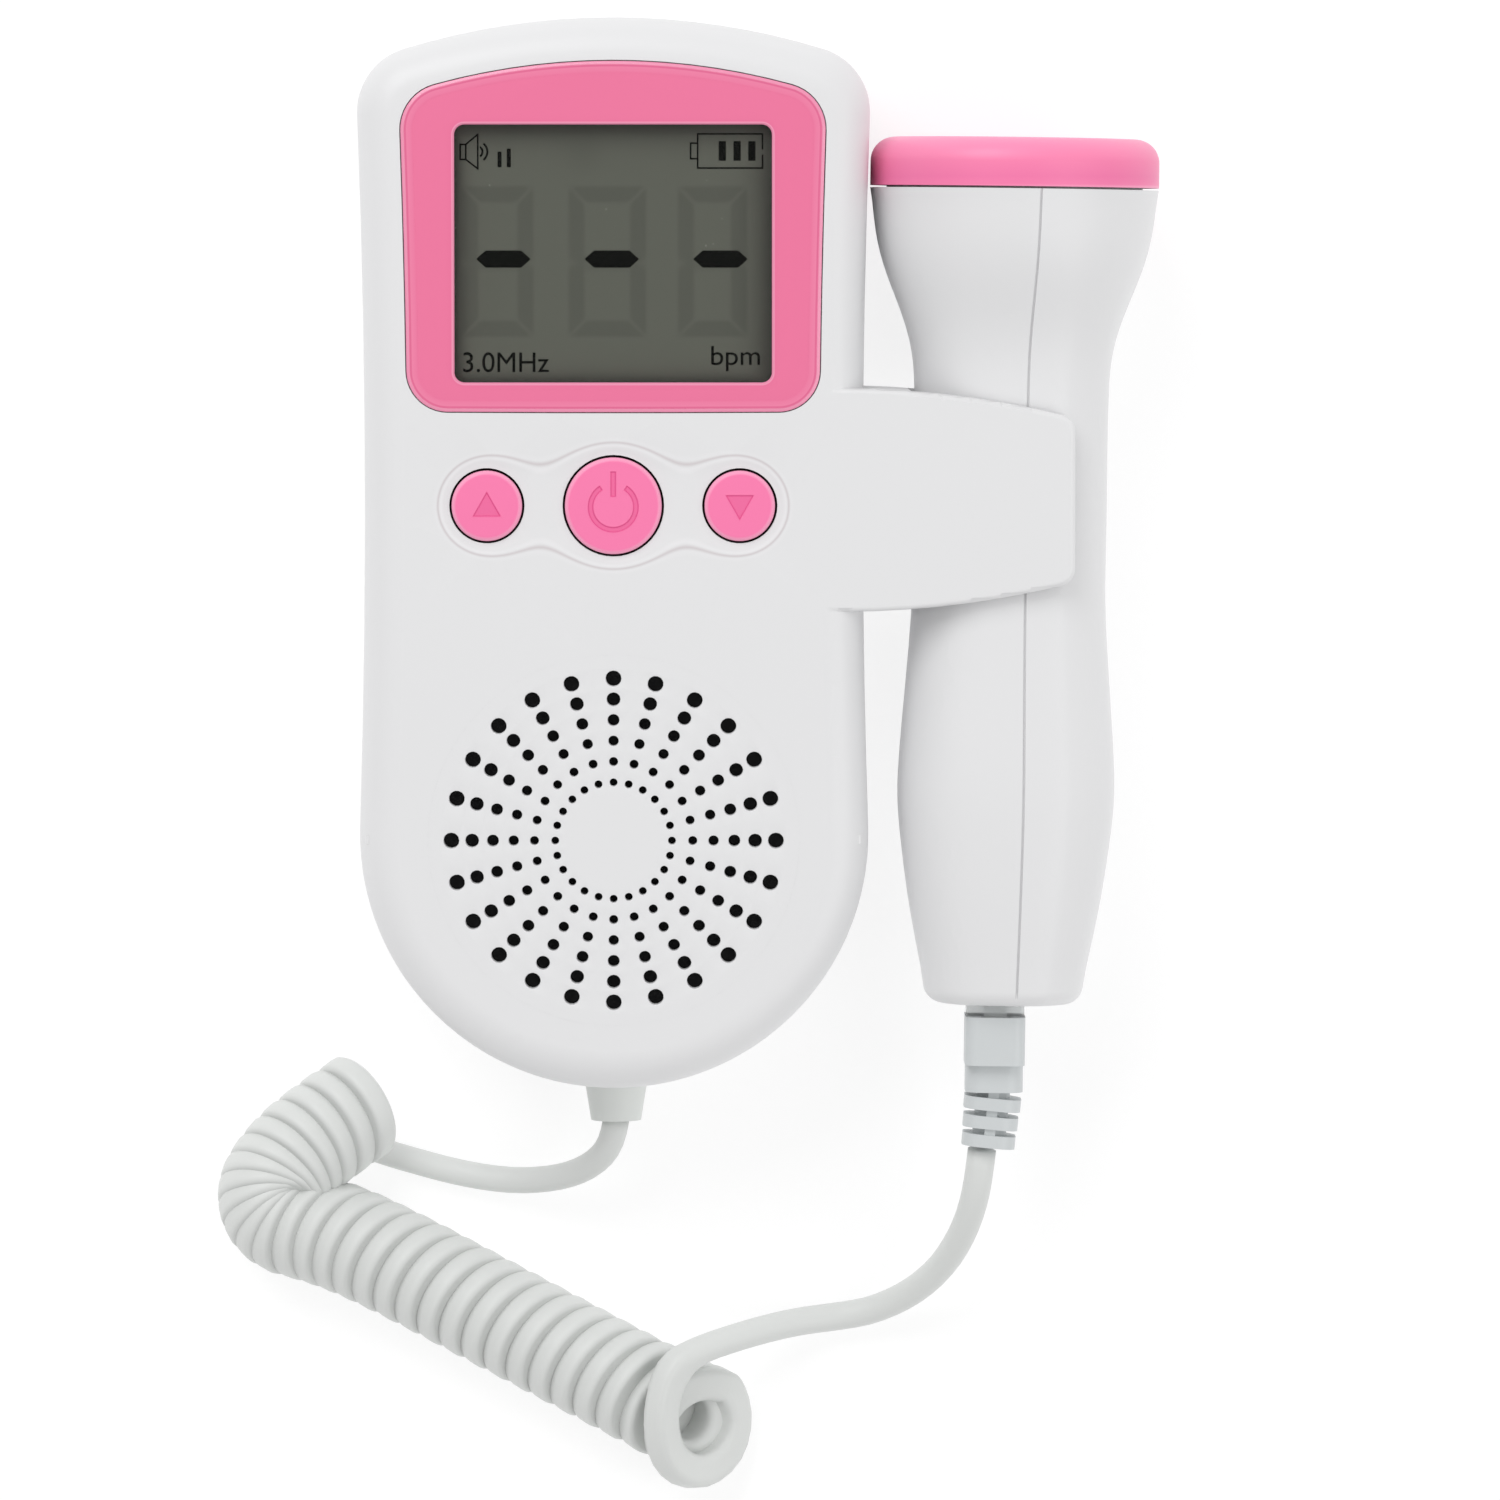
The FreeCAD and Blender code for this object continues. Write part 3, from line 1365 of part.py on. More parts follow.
def parked(shape):
    """Return a shape of the probe's own frame where the probe is parked in the clip."""
    placed = shape.copy()
    placed.rotate(Vector(0, 0, 0), Vector(0, 0, 1), -probe_tilt)
    placed.translate(Vector(probe_x, 0, probe_z))
    return placed


# ---- Gland and cord --------------------------------------------------------------------------
def gland_hole():
    """Return the round hole for the gland's neck, half in each cover."""
    return rod(0, parting_z, gland_neck_radius + gland_neck_gap, lower_end_y - 1, lower_end_y + wall + 2)


def cable_gland():
    """Return the rubber gland: a flange inside the wall, a neck and a tapered sleeve outside."""
    inner_radius = end_radius - wall
    flange_low = lower_end_y + end_radius - math.sqrt(inner_radius ** 2 - gland_flange_radius ** 2)
    points = [
        (0, flange_low + gland_flange_thickness),
        (gland_flange_radius, flange_low + gland_flange_thickness),
        (gland_flange_radius, flange_low),
        (gland_neck_radius, flange_low),
        (gland_neck_radius, lower_end_y),
        (gland_base_radius, lower_end_y),
        (gland_end_radius, lower_end_y - gland_length),
        (0, lower_end_y - gland_length),
    ]
    gland = turned_along_y(outline_edges(points))
    gland.translate(Vector(0, 0, parting_z))
    return gland


def rounded_path(name, points):
    """Return the wire of straight runs and tangent arcs along the points, and print its radii."""
    corners = [Vector(*p) for p in points]
    edges = []
    radii = []
    last = corners[0]
    for before, corner, after in zip(corners, corners[1:], corners[2:]):
        back = (before - corner) * (1 / (before - corner).Length)
        ahead = (after - corner) * (1 / (after - corner).Length)
        cut = 0.45 * min((before - corner).Length, (after - corner).Length)
        half_turn = (math.pi - back.getAngle(ahead)) / 2
        radius = cut / math.tan(half_turn)
        radii.append(round(radius, 1))
        inward = (back + ahead) * (1 / (back + ahead).Length)
        start, end = corner + back * cut, corner + ahead * cut
        middle = corner + inward * (radius / math.cos(half_turn) - radius)
        edges.append(Part.LineSegment(last, start).toShape())
        edges.append(Part.Arc(start, middle, end).toShape())
        last = end
    edges.append(Part.LineSegment(last, corners[-1]).toShape())
    print(name, "bend radii", radii)
    return Part.Wire(edges)


def cord_tube(name, points, radius):
    """Return the tube of one radius along a route, and print how its volume compares."""
    path = rounded_path(name, points)
    along = Vector(*points[1]) - Vector(*points[0])
    circle = Part.Wire([Part.makeCircle(radius, Vector(*points[0]), along)])
    tube = path.makePipeShell([circle], True, False)
    ideal = math.pi * radius ** 2 * path.Length
    print(name, "length", round(path.Length, 1), "volume ratio", round(tube.Volume / ideal, 4))
    return tube


# ---- The nodes -------------------------------------------------------------------------------
def build():
    """Return every node's shape by name."""
    nodes = {
        "front_cover": front_cover(),
        "rear_cover": rear_cover(),
        "battery_door": battery_door(),
        "display_bezel": display_bezel(),
        "display_lens": display_lens(),
        "lcd_glass": lcd_glass(),
        "lcd_holder": lcd_holder(),
        "lcd_connector": lcd_connector(),
        "main_board": main_board(),
        "board_chips": board_chips(),
        "board_capacitors": board_capacitors(),
        "board_crystal": board_crystal(),
        "switch_cases": switch_cases(),
        "board_screws": board_screws(),
        "case_screws": case_screws(),
        "speaker_frame": speaker_frame(),
        "speaker_cone": speaker_cone(),
        "speaker_magnet": speaker_magnet(),
        "grille_cloth": grille_cloth(),
        "battery_cells": battery_cells(),
        "battery_springs": battery_springs(),
        "battery_plates": battery_plates(),
        "cable_gland": cable_gland(),
        "cord_lead_monitor": cord_tube("cord_lead_monitor", monitor_lead_route, cord_radius),
        "cord_coil": cord_tube("cord_coil", coil_route, coil_outer_radius),
        "cord_lead_probe": cord_tube("cord_lead_probe", probe_lead_route, cord_radius),
    }
    names = ("power", "volume_down", "volume_up")
    for name, (x, radius) in zip(names, button_places()):
        nodes[name + "_button"] = button(x, radius)
        nodes[name + "_plunger"] = plunger(x)
    probe_nodes = {
        "probe_shell_left": probe_shell(-1),
        "probe_shell_right": probe_shell(1),
        "probe_cap": probe_cap(),
        "transducer_elements": transducer_elements(),
        "transducer_backing": transducer_backing(),
        "probe_board": probe_board(),
        "probe_socket": probe_socket(),
        "plug_body": plug_body(),
        "plug_contacts": plug_contacts(),
        "plug_boot": plug_boot(),
    }
    nodes.update((name, parked(shape)) for name, shape in probe_nodes.items())
    return nodes


def main():
    """Write one STEP file for each node."""
    os.makedirs("parts", exist_ok=True)
    for name, shape in build().items():
        if not shape.isValid():
            print("not valid:", name)
        shape.exportStep(os.path.join("parts", name + ".step"))


main()
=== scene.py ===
"""Fetal doppler monitor: the visible pieces and finishes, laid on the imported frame.

Metres. X runs across the main unit, Y towards its display end, Z out of its face.
"""
import logging
import math
from dataclasses import dataclass, replace
from enum import Enum
from typing import Callable, Iterable, Optional, Sequence

import bmesh
import bpy
import numpy as np
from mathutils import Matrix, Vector


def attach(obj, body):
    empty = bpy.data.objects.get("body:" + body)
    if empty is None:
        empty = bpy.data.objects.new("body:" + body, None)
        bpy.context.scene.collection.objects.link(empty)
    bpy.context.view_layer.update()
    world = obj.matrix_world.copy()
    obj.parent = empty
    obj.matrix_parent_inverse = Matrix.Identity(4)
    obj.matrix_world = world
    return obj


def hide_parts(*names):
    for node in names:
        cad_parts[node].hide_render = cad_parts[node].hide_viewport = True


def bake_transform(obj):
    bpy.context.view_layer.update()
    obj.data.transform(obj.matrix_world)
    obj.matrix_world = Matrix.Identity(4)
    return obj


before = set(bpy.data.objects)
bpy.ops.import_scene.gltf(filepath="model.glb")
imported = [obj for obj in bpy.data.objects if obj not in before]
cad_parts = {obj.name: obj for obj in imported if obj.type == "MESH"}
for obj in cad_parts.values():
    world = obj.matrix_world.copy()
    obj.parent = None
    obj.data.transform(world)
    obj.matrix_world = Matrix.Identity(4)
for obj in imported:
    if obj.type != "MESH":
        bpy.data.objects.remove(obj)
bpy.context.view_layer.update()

Array, Piece, Socket = np.ndarray, bpy.types.Object, bpy.types.NodeSocket
MM = 0.001
log = logging.getLogger("doppler")


# ---- Meshes ----------------------------------------------------------------------------------
def grid_faces(rows: int, columns: int, wrap_columns: bool = False) -> Array:
    """Return the quads that join a grid of points, row after row.

    Args:
        rows: rows of points.
        columns: points in each row.
        wrap_columns: each row's last point joins its first.

    Returns:
        An (n, 4) array of point numbers.
    """
    i = np.arange(rows - 1)[:, None]
    j = np.arange(columns if wrap_columns else columns - 1)[None, :]
    below, beside = i + 1, (j + 1) % columns
    corners = [i * columns + j, i * columns + beside, below * columns + beside, below * columns + j]
    return np.stack([c + 0 * (i + j) for c in corners], axis=-1).reshape(-1, 4)


def linked(name: str, data: object) -> Piece:
    """Return a new object in the scene for some data."""
    thing = bpy.data.objects.new(name, data)
    bpy.context.scene.collection.objects.link(thing)
    return thing


def evaluated(curve: bpy.types.Curve) -> bpy.types.Mesh:
    """Return the mesh that a curve or a text gives."""
    carrier = linked(curve.name, curve)
    bpy.context.view_layer.update()
    mesh = bpy.data.meshes.new_from_object(carrier.evaluated_get(bpy.context.evaluated_depsgraph_get()))
    bpy.data.objects.remove(carrier)
    return mesh


def places_of(mesh: bpy.types.Mesh) -> Array:
    """Return the (n, 3) places of a mesh's points."""
    places = np.empty(len(mesh.vertices) * 3, np.float32)
    mesh.vertices.foreach_get("co", places)
    return places.reshape(-1, 3)


def at_height(flat: Array, z: float) -> Array:
    """Return (n, 2) places with a height added to each."""
    return np.column_stack([flat, np.full(len(flat), z)])


def carry(piece: Piece, name: str, values: Sequence[float]) -> None:
    """Give a piece's points a named number each, which its finish reads."""
    values = np.asarray(values, np.float32).ravel()
    piece.data.attributes.new(name, "FLOAT", "POINT").data.foreach_set("value", values)


def face_up(piece: Piece) -> None:
    """Turn a flat piece's faces so that they all look up."""
    for face in piece.data.polygons:
        if face.normal.z < 0:
            face.flip()


def mesh_object(name: str, points: Array, faces: Iterable, smooth: bool = True) -> Piece:
    """Return a new object in the scene from points and faces.

    Args:
        name: the piece's name.
        points: (n, 3) places in metres.
        faces: point numbers of each face.
        smooth: shade the faces smooth.
    """
    mesh = bpy.data.meshes.new(name)
    mesh.from_pydata(np.asarray(points, float).tolist(), [], [list(map(int, f)) for f in faces])
    mesh.validate()
    mesh.polygons.foreach_set("use_smooth", np.full(len(mesh.polygons), smooth))
    return linked(name, mesh)


def merged(piece: Piece, distance: float = 2e-6, crease: Optional[float] = None) -> Piece:
    """Join a mesh's doubled points, and mark as sharp the edges that turn by more than crease degrees."""
    work = bmesh.new()
    work.from_mesh(piece.data)
    bmesh.ops.remove_doubles(work, verts=work.verts, dist=distance)
    bmesh.ops.dissolve_degenerate(work, edges=work.edges, dist=distance / 4)
    work.to_mesh(piece.data)
    work.free()
    if crease is not None:
        piece.data.polygons.foreach_set("use_smooth", np.ones(len(piece.data.polygons), bool))
        piece.data.set_sharp_from_angle(angle=math.radians(crease))
    return piece


def refined(node: str, name: str, crease: float = 32.0) -> Piece:
    """Return a merged, smoothly shaded copy of a node's surface, which then stands for the node.

    Args:
        node: the frame's node.
        name: the new piece's name.
        crease: edges that turn by more than this many degrees stay sharp.
    """
    piece = linked(name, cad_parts[node].data.copy())
    if "custom_normal" in piece.data.attributes:
        piece.data.attributes.remove(piece.data.attributes["custom_normal"])
    merged(piece, crease=crease)
    weighted = piece.modifiers.new("weighted_normals", "WEIGHTED_NORMAL")
    weighted.keep_sharp = True
    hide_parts(node)
    return piece


# ---- Shader groups ---------------------------------------------------------------------------
class Nodes:
    """Short calls that add and join the nodes of one tree."""

    def __init__(self, tree: bpy.types.NodeTree) -> None:
        """Keep the tree."""
        self.tree = tree

    def add(self, kind: str, inputs: Optional[dict] = None, **settings: object) -> bpy.types.Node:
        """Add a node.

        Args:
            kind: the node's type name.
            inputs: socket name or number to a value or to another node's output.
            settings: the node's own settings.

        Returns:
            The node.
        """
        node = self.tree.nodes.new(kind)
        for key, value in settings.items():
            setattr(node, key, value)
        for key, value in (inputs or {}).items():
            if isinstance(value, Socket):
                self.tree.links.new(value, node.inputs[key])
            else:
                node.inputs[key].default_value = value
        return node

    def math(self, operation: str, *values: object) -> Socket:
        """Return the output of a Math node with these inputs."""
        return self.add("ShaderNodeMath", dict(enumerate(values)), operation=operation).outputs[0]

    def mix(self, share: object, colour: object, tone: object) -> Socket:
        """Return a colour mixed by a share with a tone, which is a six-digit or a linear colour."""
        second = linear(tone) if isinstance(tone, str) else tone
        return self.add("ShaderNodeMix", {0: share, 6: colour, 7: second}, data_type="RGBA").outputs[2]

    def attribute(self, name: str) -> Socket:
        """Return the number that the points carry under a name."""
        return self.add("ShaderNodeAttribute", attribute_name=name).outputs["Fac"]

    def axis(self, place: Socket, number: int) -> Socket:
        """Return one coordinate of a place."""
        return self.add("ShaderNodeSeparateXYZ", {"Vector": place}).outputs[number]

    def near(self, value: Socket, centre: float, half: float) -> Socket:
        """Return 1 where a value is at centre, falling evenly to 0 at half to either side."""
        away = self.math("DIVIDE", self.math("ABSOLUTE", self.math("SUBTRACT", value, centre)), half)
        return self.math("MAXIMUM", self.math("SUBTRACT", 1.0, away), 0.0)


def group(name: str, inputs: dict, outputs: dict, build: Callable[[Nodes, dict], dict]) -> bpy.types.NodeTree:
    """Return a shader node group.

    Args:
        name: the group's name.
        inputs: socket name to (socket type, default value).
        outputs: socket name to socket type.
        build: makes the nodes from the input sockets and returns the output sockets by name.
    """
    tree = bpy.data.node_groups.new(name, "ShaderNodeTree")
    for key, (kind, default) in inputs.items():
        socket = tree.interface.new_socket(name=key, in_out="INPUT", socket_type=kind)
        if default is not None:
            socket.default_value = default
    for key, kind in outputs.items():
        tree.interface.new_socket(name=key, in_out="OUTPUT", socket_type=kind)
    nodes = Nodes(tree)
    entry, leave = nodes.add("NodeGroupInput"), nodes.add("NodeGroupOutput")
    for key, socket in build(nodes, entry.outputs).items():
        tree.links.new(socket, leave.inputs[key])
    return tree


FLOAT, COLOUR, VECTOR = "NodeSocketFloat", "NodeSocketColor", "NodeSocketVector"


def grain_nodes(n: Nodes, given: dict) -> dict:
    """Fine spark-eroded grain over a slow ripple, as a normal."""
    fine = n.add("ShaderNodeTexNoise", {"Vector": given["Vector"], "Scale": given["Scale"], "Detail": 3.0,
                                        "Roughness": 0.6})
    slow = n.add("ShaderNodeTexNoise", {"Vector": given["Vector"], "Scale": 90.0, "Detail": 1.0})
    height = n.math("ADD", fine.outputs[0], slow.outputs[0])
    bump = n.add("ShaderNodeBump", {"Height": height, "Distance": given["Depth"], "Strength": 1.0})
    return {"Normal": bump.outputs[0]}


def tone_nodes(n: Nodes, given: dict) -> dict:
    """A colour that wanders a little in lightness, and a roughness that wanders with the fine noise."""
    slow = n.add("ShaderNodeTexNoise", {"Vector": given["Vector"], "Scale": 38.0, "Detail": 3.0})
    fine = n.add("ShaderNodeTexNoise", {"Vector": given["Vector"], "Scale": 900.0, "Detail": 2.0})
    mixed = n.math("ADD", n.math("MULTIPLY", slow.outputs[0], 0.7), n.math("MULTIPLY", fine.outputs[0], 0.3))
    centred = n.math("MULTIPLY", n.math("SUBTRACT", mixed, 0.5), given["Spread"])
    value = n.math("ADD", centred, 1.0)
    shade = n.add("ShaderNodeHueSaturation", {"Color": given["Colour"], "Value": value})
    rough = n.math("ADD", given["Roughness"], n.math("MULTIPLY", n.math("SUBTRACT", fine.outputs[0], 0.5),
                                                      given["Roughness spread"]))
    return {"Colour": shade.outputs[0], "Roughness": rough}


GRAIN = group("moulded_grain", {"Vector": (VECTOR, None), "Scale": (FLOAT, 2500.0), "Depth": (FLOAT, 1e-5)},
              {"Normal": VECTOR}, grain_nodes)
TONE = group("tone_spread", {"Vector": (VECTOR, None), "Colour": (COLOUR, (0.8, 0.8, 0.8, 1)),
                             "Spread": (FLOAT, 0.05), "Roughness": (FLOAT, 0.5),
                             "Roughness spread": (FLOAT, 0.05)},
             {"Colour": COLOUR, "Roughness": FLOAT}, tone_nodes)


def linear(code: str) -> tuple[float, float, float, float]:
    """Return a scene-linear colour from a six-digit screen colour."""
    parts = np.array([int(code[i:i + 2], 16) for i in (0, 2, 4)]) / 255
    low, high = parts / 12.92, ((parts + 0.055) / 1.055) ** 2.4
    return (*(float(v) for v in np.where(parts <= 0.04045, low, high)), 1.0)


@dataclass(frozen=True)
class Finish:
    """How one moulded, sawn or drawn material looks."""

    name: str
    colour: str
    roughness: float = 0.5
    roughness_spread: float = 0.06
    spread: float = 0.03
    grain_scale: float = 2500.0
    grain_depth: float = 1e-5
    metallic: float = 0.0
    ior: float = 1.5
    coat: float = 0.0
    coat_roughness: float = 0.1
    transmission: float = 0.0
    alpha: float = 1.0
    emission: float = 0.0

    def tint(self, n: Nodes, place: Socket, colour: object) -> object:
        """Return the colour socket, for a finish that changes over the surface."""
        return colour

    def build(self) -> bpy.types.Material:
        """Return the material."""
        material = bpy.data.materials.new(self.name)
        material.use_nodes = True
        material.node_tree.nodes.clear()
        n = Nodes(material.node_tree)
        place = n.add("ShaderNodeTexCoord").outputs["Object"]
        tone = n.add("ShaderNodeGroup", {
            "Vector": place, "Colour": self.tint(n, place, linear(self.colour)), "Spread": self.spread,
            "Roughness": self.roughness, "Roughness spread": self.roughness_spread}, node_tree=TONE)
        grain = n.add("ShaderNodeGroup", {"Vector": place, "Scale": self.grain_scale, "Depth": self.grain_depth},
                      node_tree=GRAIN)
        shader = n.add("ShaderNodeBsdfPrincipled", {
            "Base Color": tone.outputs["Colour"], "Roughness": tone.outputs["Roughness"],
            "Normal": grain.outputs["Normal"], "Metallic": self.metallic, "IOR": self.ior,
            "Coat Weight": self.coat, "Coat Roughness": self.coat_roughness,
            "Transmission Weight": self.transmission, "Alpha": self.alpha,
            "Emission Color": (1.0, 1.0, 1.0, 1.0), "Emission Strength": self.emission,
        })
        n.add("ShaderNodeOutputMaterial", {"Surface": shader.outputs[0]})
        return material


@dataclass(frozen=True)
class CordFinish(Finish):
    """The cord's rubber, with painted shade where one turn meets the next and a painted highlight on the turn's
    near edge.

    Each row of edges gives a side of the turn, where the tone starts, over what width it grows
    to its full strength, that strength and the tone.
    """

    # First row: painted shade in the crease; second row: painted highlight on the turn's near edge.
    edges: tuple = ((1.0, 0.45, 0.3, 0.4, "A6A9A6"), (-1.0, 0.46, 0.14, 1.0, "FFFFFF"))

    def tint(self, n: Nodes, place: Socket, colour: object) -> object:
        """Return the rubber's colour with the painted crease shade and painted highlight, from the side
        attribute, -1 to 1 across a turn.
        """
        side = n.attribute("side")
        for sign, start, span, strength, tone in self.edges:
            way = n.math("SUBTRACT", n.math("MULTIPLY", side, sign), start)
            mask = n.math("MINIMUM", n.math("MAXIMUM", n.math("DIVIDE", way, span), 0.0), 1.0)
            colour = n.mix(n.math("MULTIPLY", n.math("MULTIPLY", mask, mask), strength), colour, tone)
        return colour


@dataclass(frozen=True)
class CapFinish(Finish):
    """The probe cap's pink, with painted light by the share of the way along Y from its rim to its far face.

    Each row of painted_light_bands gives the middle share, the half width, the strength and the tone.
    """

    low: float = 0.0
    high: float = 1.0
    # Painted shade in a deeper band near the rim, a painted highlight towards the far face, and a painted
    # highlight line on the rim.
    painted_light_bands: tuple = ((0.22, 0.4, 0.6, "EE6FA6"), (1.0, 0.5, 0.5, "FFA6C8"), (0.0, 0.07, 0.9, "FFB0CE"))

    def tint(self, n: Nodes, place: Socket, colour: object) -> object:
        """Return the pink with painted shade near the rim, and painted highlights at the far face and on the
        rim's line.
        """
        share = n.math("DIVIDE", n.math("SUBTRACT", n.axis(place, 1), self.low), self.high - self.low)
        for centre, half, strength, tone in self.painted_light_bands:
            colour = n.mix(n.math("MULTIPLY", n.near(share, centre, half), strength), colour, tone)
        return colour


@dataclass(frozen=True)
class BoardFinish(Finish):
    """Green solder mask over copper tracks, with bare pads."""

    pad: float = 0.12

    def tint(self, n: Nodes, place: Socket, colour: object) -> object:
        """Return the mask's green, lighter over the tracks, with tinned pads on a grid."""
        tracks = n.add("ShaderNodeTexBrick", {"Vector": place, "Scale": 210.0, "Mortar Size": 0.045,
                                              "Color1": (0.012, 0.11, 0.05, 1), "Color2": (0.016, 0.13, 0.06, 1),
                                              "Mortar": (0.03, 0.22, 0.10, 1)})
        pads = n.add("ShaderNodeTexVoronoi", {"Vector": place, "Scale": 420.0})
        mask = n.math("LESS_THAN", pads.outputs["Distance"], self.pad)
        return n.mix(mask, tracks.outputs[0], (0.62, 0.6, 0.52, 1))


@dataclass(frozen=True)
class StripedFinish(Finish):
    """Even stripes across X, as in a layered rubber connector, or bands along Y on a cell's sleeve."""

    second: str = "202020"
    stripes: float = 2500.0
    axis: int = 0
    share: float = 0.5

    def tint(self, n: Nodes, place: Socket, colour: object) -> object:
        """Return one of two colours by the place along an axis."""
        phase = n.math("FRACT", n.math("MULTIPLY", n.axis(place, self.axis), self.stripes))
        return n.mix(n.math("LESS_THAN", phase, self.share), colour, self.second)


@dataclass(frozen=True)
class KeycapFinish(Finish):
    """A keycap: painted shade where the symbol is sunk, a painted highlight at the rounded rim, and deep maroon
    painted shade in the gap.
    """

    gap_height: float = 0.03485
    rim_highlight_strength: float = 0.8

    def tint(self, n: Nodes, place: Socket, colour: object) -> object:
        """Return the cap's colour with painted shade from its sunk attribute and below its gap height, and a
        painted highlight from its rim attribute.
        """
        colour = n.mix(n.attribute("sunk"), colour, "E4488A")
        colour = n.mix(n.math("MULTIPLY", n.attribute("rim"), self.rim_highlight_strength), colour, "FFACCC")
        return n.mix(n.math("LESS_THAN", n.axis(place, 2), self.gap_height), colour, "5A1228")


@dataclass(frozen=True)
class LcdFinish(Finish):
    """The display's grey-green face, with a soft shade from an attribute and a few dust specks."""

    speck: float = 0.035
    speck_strength: float = 0.35

    def tint(self, n: Nodes, place: Socket, colour: object) -> object:
        """Return the face's colour, darkened by the shade attribute."""
        dark = n.mix(n.attribute("shade"), colour, "1B1A17")
        dust = n.add("ShaderNodeTexVoronoi", {"Vector": place, "Scale": 300.0, "Randomness": 1.0})
        mask = n.math("LESS_THAN", dust.outputs["Distance"], self.speck)
        return n.mix(n.math("MULTIPLY", mask, self.speck_strength), dark, "B8BCB0")


@dataclass(frozen=True)
class FaceFinish(Finish):
    """The housing's white, with a thin warm painted shade line round the buttons' shallow island and painted
    highlights beside it.

    Each row of island_light_lines gives the distance from the outline, the half width, the strength and the tone.
    """

    island: tuple = ((-0.0173, 0.0067), (0.0, 0.0086), (0.0173, 0.0067))
    island_y: float = 0.00685
    blend: float = 0.0163
    front: float = 0.033
    # The first row is a painted shade line on the island's edge, the other two are painted highlights beside it.
    island_light_lines: tuple = ((0.0, 0.00026, 0.6, "C6BBBE"), (-0.0004, 0.00035, 0.35, "F6F5F7"),
                    (0.0004, 0.00035, 0.25, "F0EFF1"))

    def tint(self, n: Nodes, place: Socket, colour: object) -> object:
        """Return the white with the painted shade line and painted highlights, from the smooth least of three
        circles' distances.
        """
        parts = n.add("ShaderNodeSeparateXYZ", {"Vector": place}).outputs
        dy = n.math("SUBTRACT", parts[1], self.island_y)
        far = None
        for x, radius in self.island:
            dx = n.math("SUBTRACT", parts[0], x)
            length = n.math("SQRT", n.math("ADD", n.math("MULTIPLY", dx, dx), n.math("MULTIPLY", dy, dy)))
            one = n.math("SUBTRACT", length, radius)
            far = one if far is None else n.math("SMOOTH_MIN", far, one, self.blend)
        front = n.math("GREATER_THAN", parts[2], self.front)
        for middle, half, strength, tone in self.island_light_lines:
            mask = n.math("MULTIPLY", n.near(far, middle, half), strength)
            colour = n.mix(n.math("MULTIPLY", mask, front), colour, tone)
        return colour


@dataclass(frozen=True)
class RimFinish(Finish):
    """The bezel's pink, with painted highlights and painted shade along its edges by two attributes, and a
    painted highlight on its rounded rim.
    """

    flat: float = 0.0
    rim_highlight_strength: float = 0.45

    def tint(self, n: Nodes, place: Socket, colour: object) -> object:
        """Return the pink mixed with a pale one for the painted highlights and a deep one for the painted shade.
        """
        below = n.math("LESS_THAN", n.axis(place, 2), self.flat)
        colour = n.mix(n.math("MULTIPLY", below, self.rim_highlight_strength), colour, "F9B4CF")
        for key, tone in (("pale", "F9B4CF"), ("deep", "D85684")):
            colour = n.mix(n.attribute(key), colour, tone)
        return colour


MATTE = {"roughness": 0.42, "spread": 0.012, "grain_scale": 3800, "grain_depth": 4e-6}
RUBBER = {"spread": 0.02, "grain_scale": 2600, "grain_depth": 5e-6}
PINK = {"spread": 0.02, "grain_scale": 1200, "grain_depth": 1.5e-6}
BARE = {"grain_depth": 0.0}
METAL = {"metallic": 1.0, "grain_depth": 3e-6}

HOUSING = Finish("housing_white", "E6E6E7", **MATTE)
FACE = FaceFinish("housing_face", "E6E6E7", **MATTE)
PINK_RIM = RimFinish("pink_rim", "F0759F", roughness=0.24, coat=0.3, coat_roughness=0.12, **PINK)
PINK_CAP = CapFinish("pink_cap", "FF86B3", roughness=0.4, **PINK)
KEYCAP = KeycapFinish("pink_keycap", "FC7DB0", roughness=0.42, spread=0.015, grain_scale=4200, grain_depth=4e-6)
CORD_RUBBER = CordFinish("cord_rubber", "DDDFDD", **RUBBER)
GLAND_RUBBER = Finish("gland_rubber", "E2E5E2", **RUBBER)
BOOT_RUBBER = Finish("boot_rubber", "CFD3D4", roughness=0.4, **{**RUBBER, "grain_depth": 4e-6})
CLEAR = Finish("clear_plastic", "F2F5F5", roughness=0.08, roughness_spread=0.02, spread=0.01, transmission=0.6,
               ior=1.49, grain_depth=1e-6)
LENS = Finish("lens_acrylic", "2A2C28", roughness=0.06, roughness_spread=0.01, spread=0.01, alpha=0.08, **BARE)
LCD_FACE = LcdFinish("lcd_face", "62655A", spread=0.02, grain_scale=1500, **BARE)
SEGMENT = Finish("lcd_segment", "060706", ior=1.08, **BARE)
CLOTH = Finish("grille_cloth_black", "101011", roughness=0.95, spread=0.2, grain_scale=1600, grain_depth=6e-5)
FLOOR = Finish("floor_paper", "A4A4A4", roughness=0.9, spread=0.004, emission=0.68, **BARE)

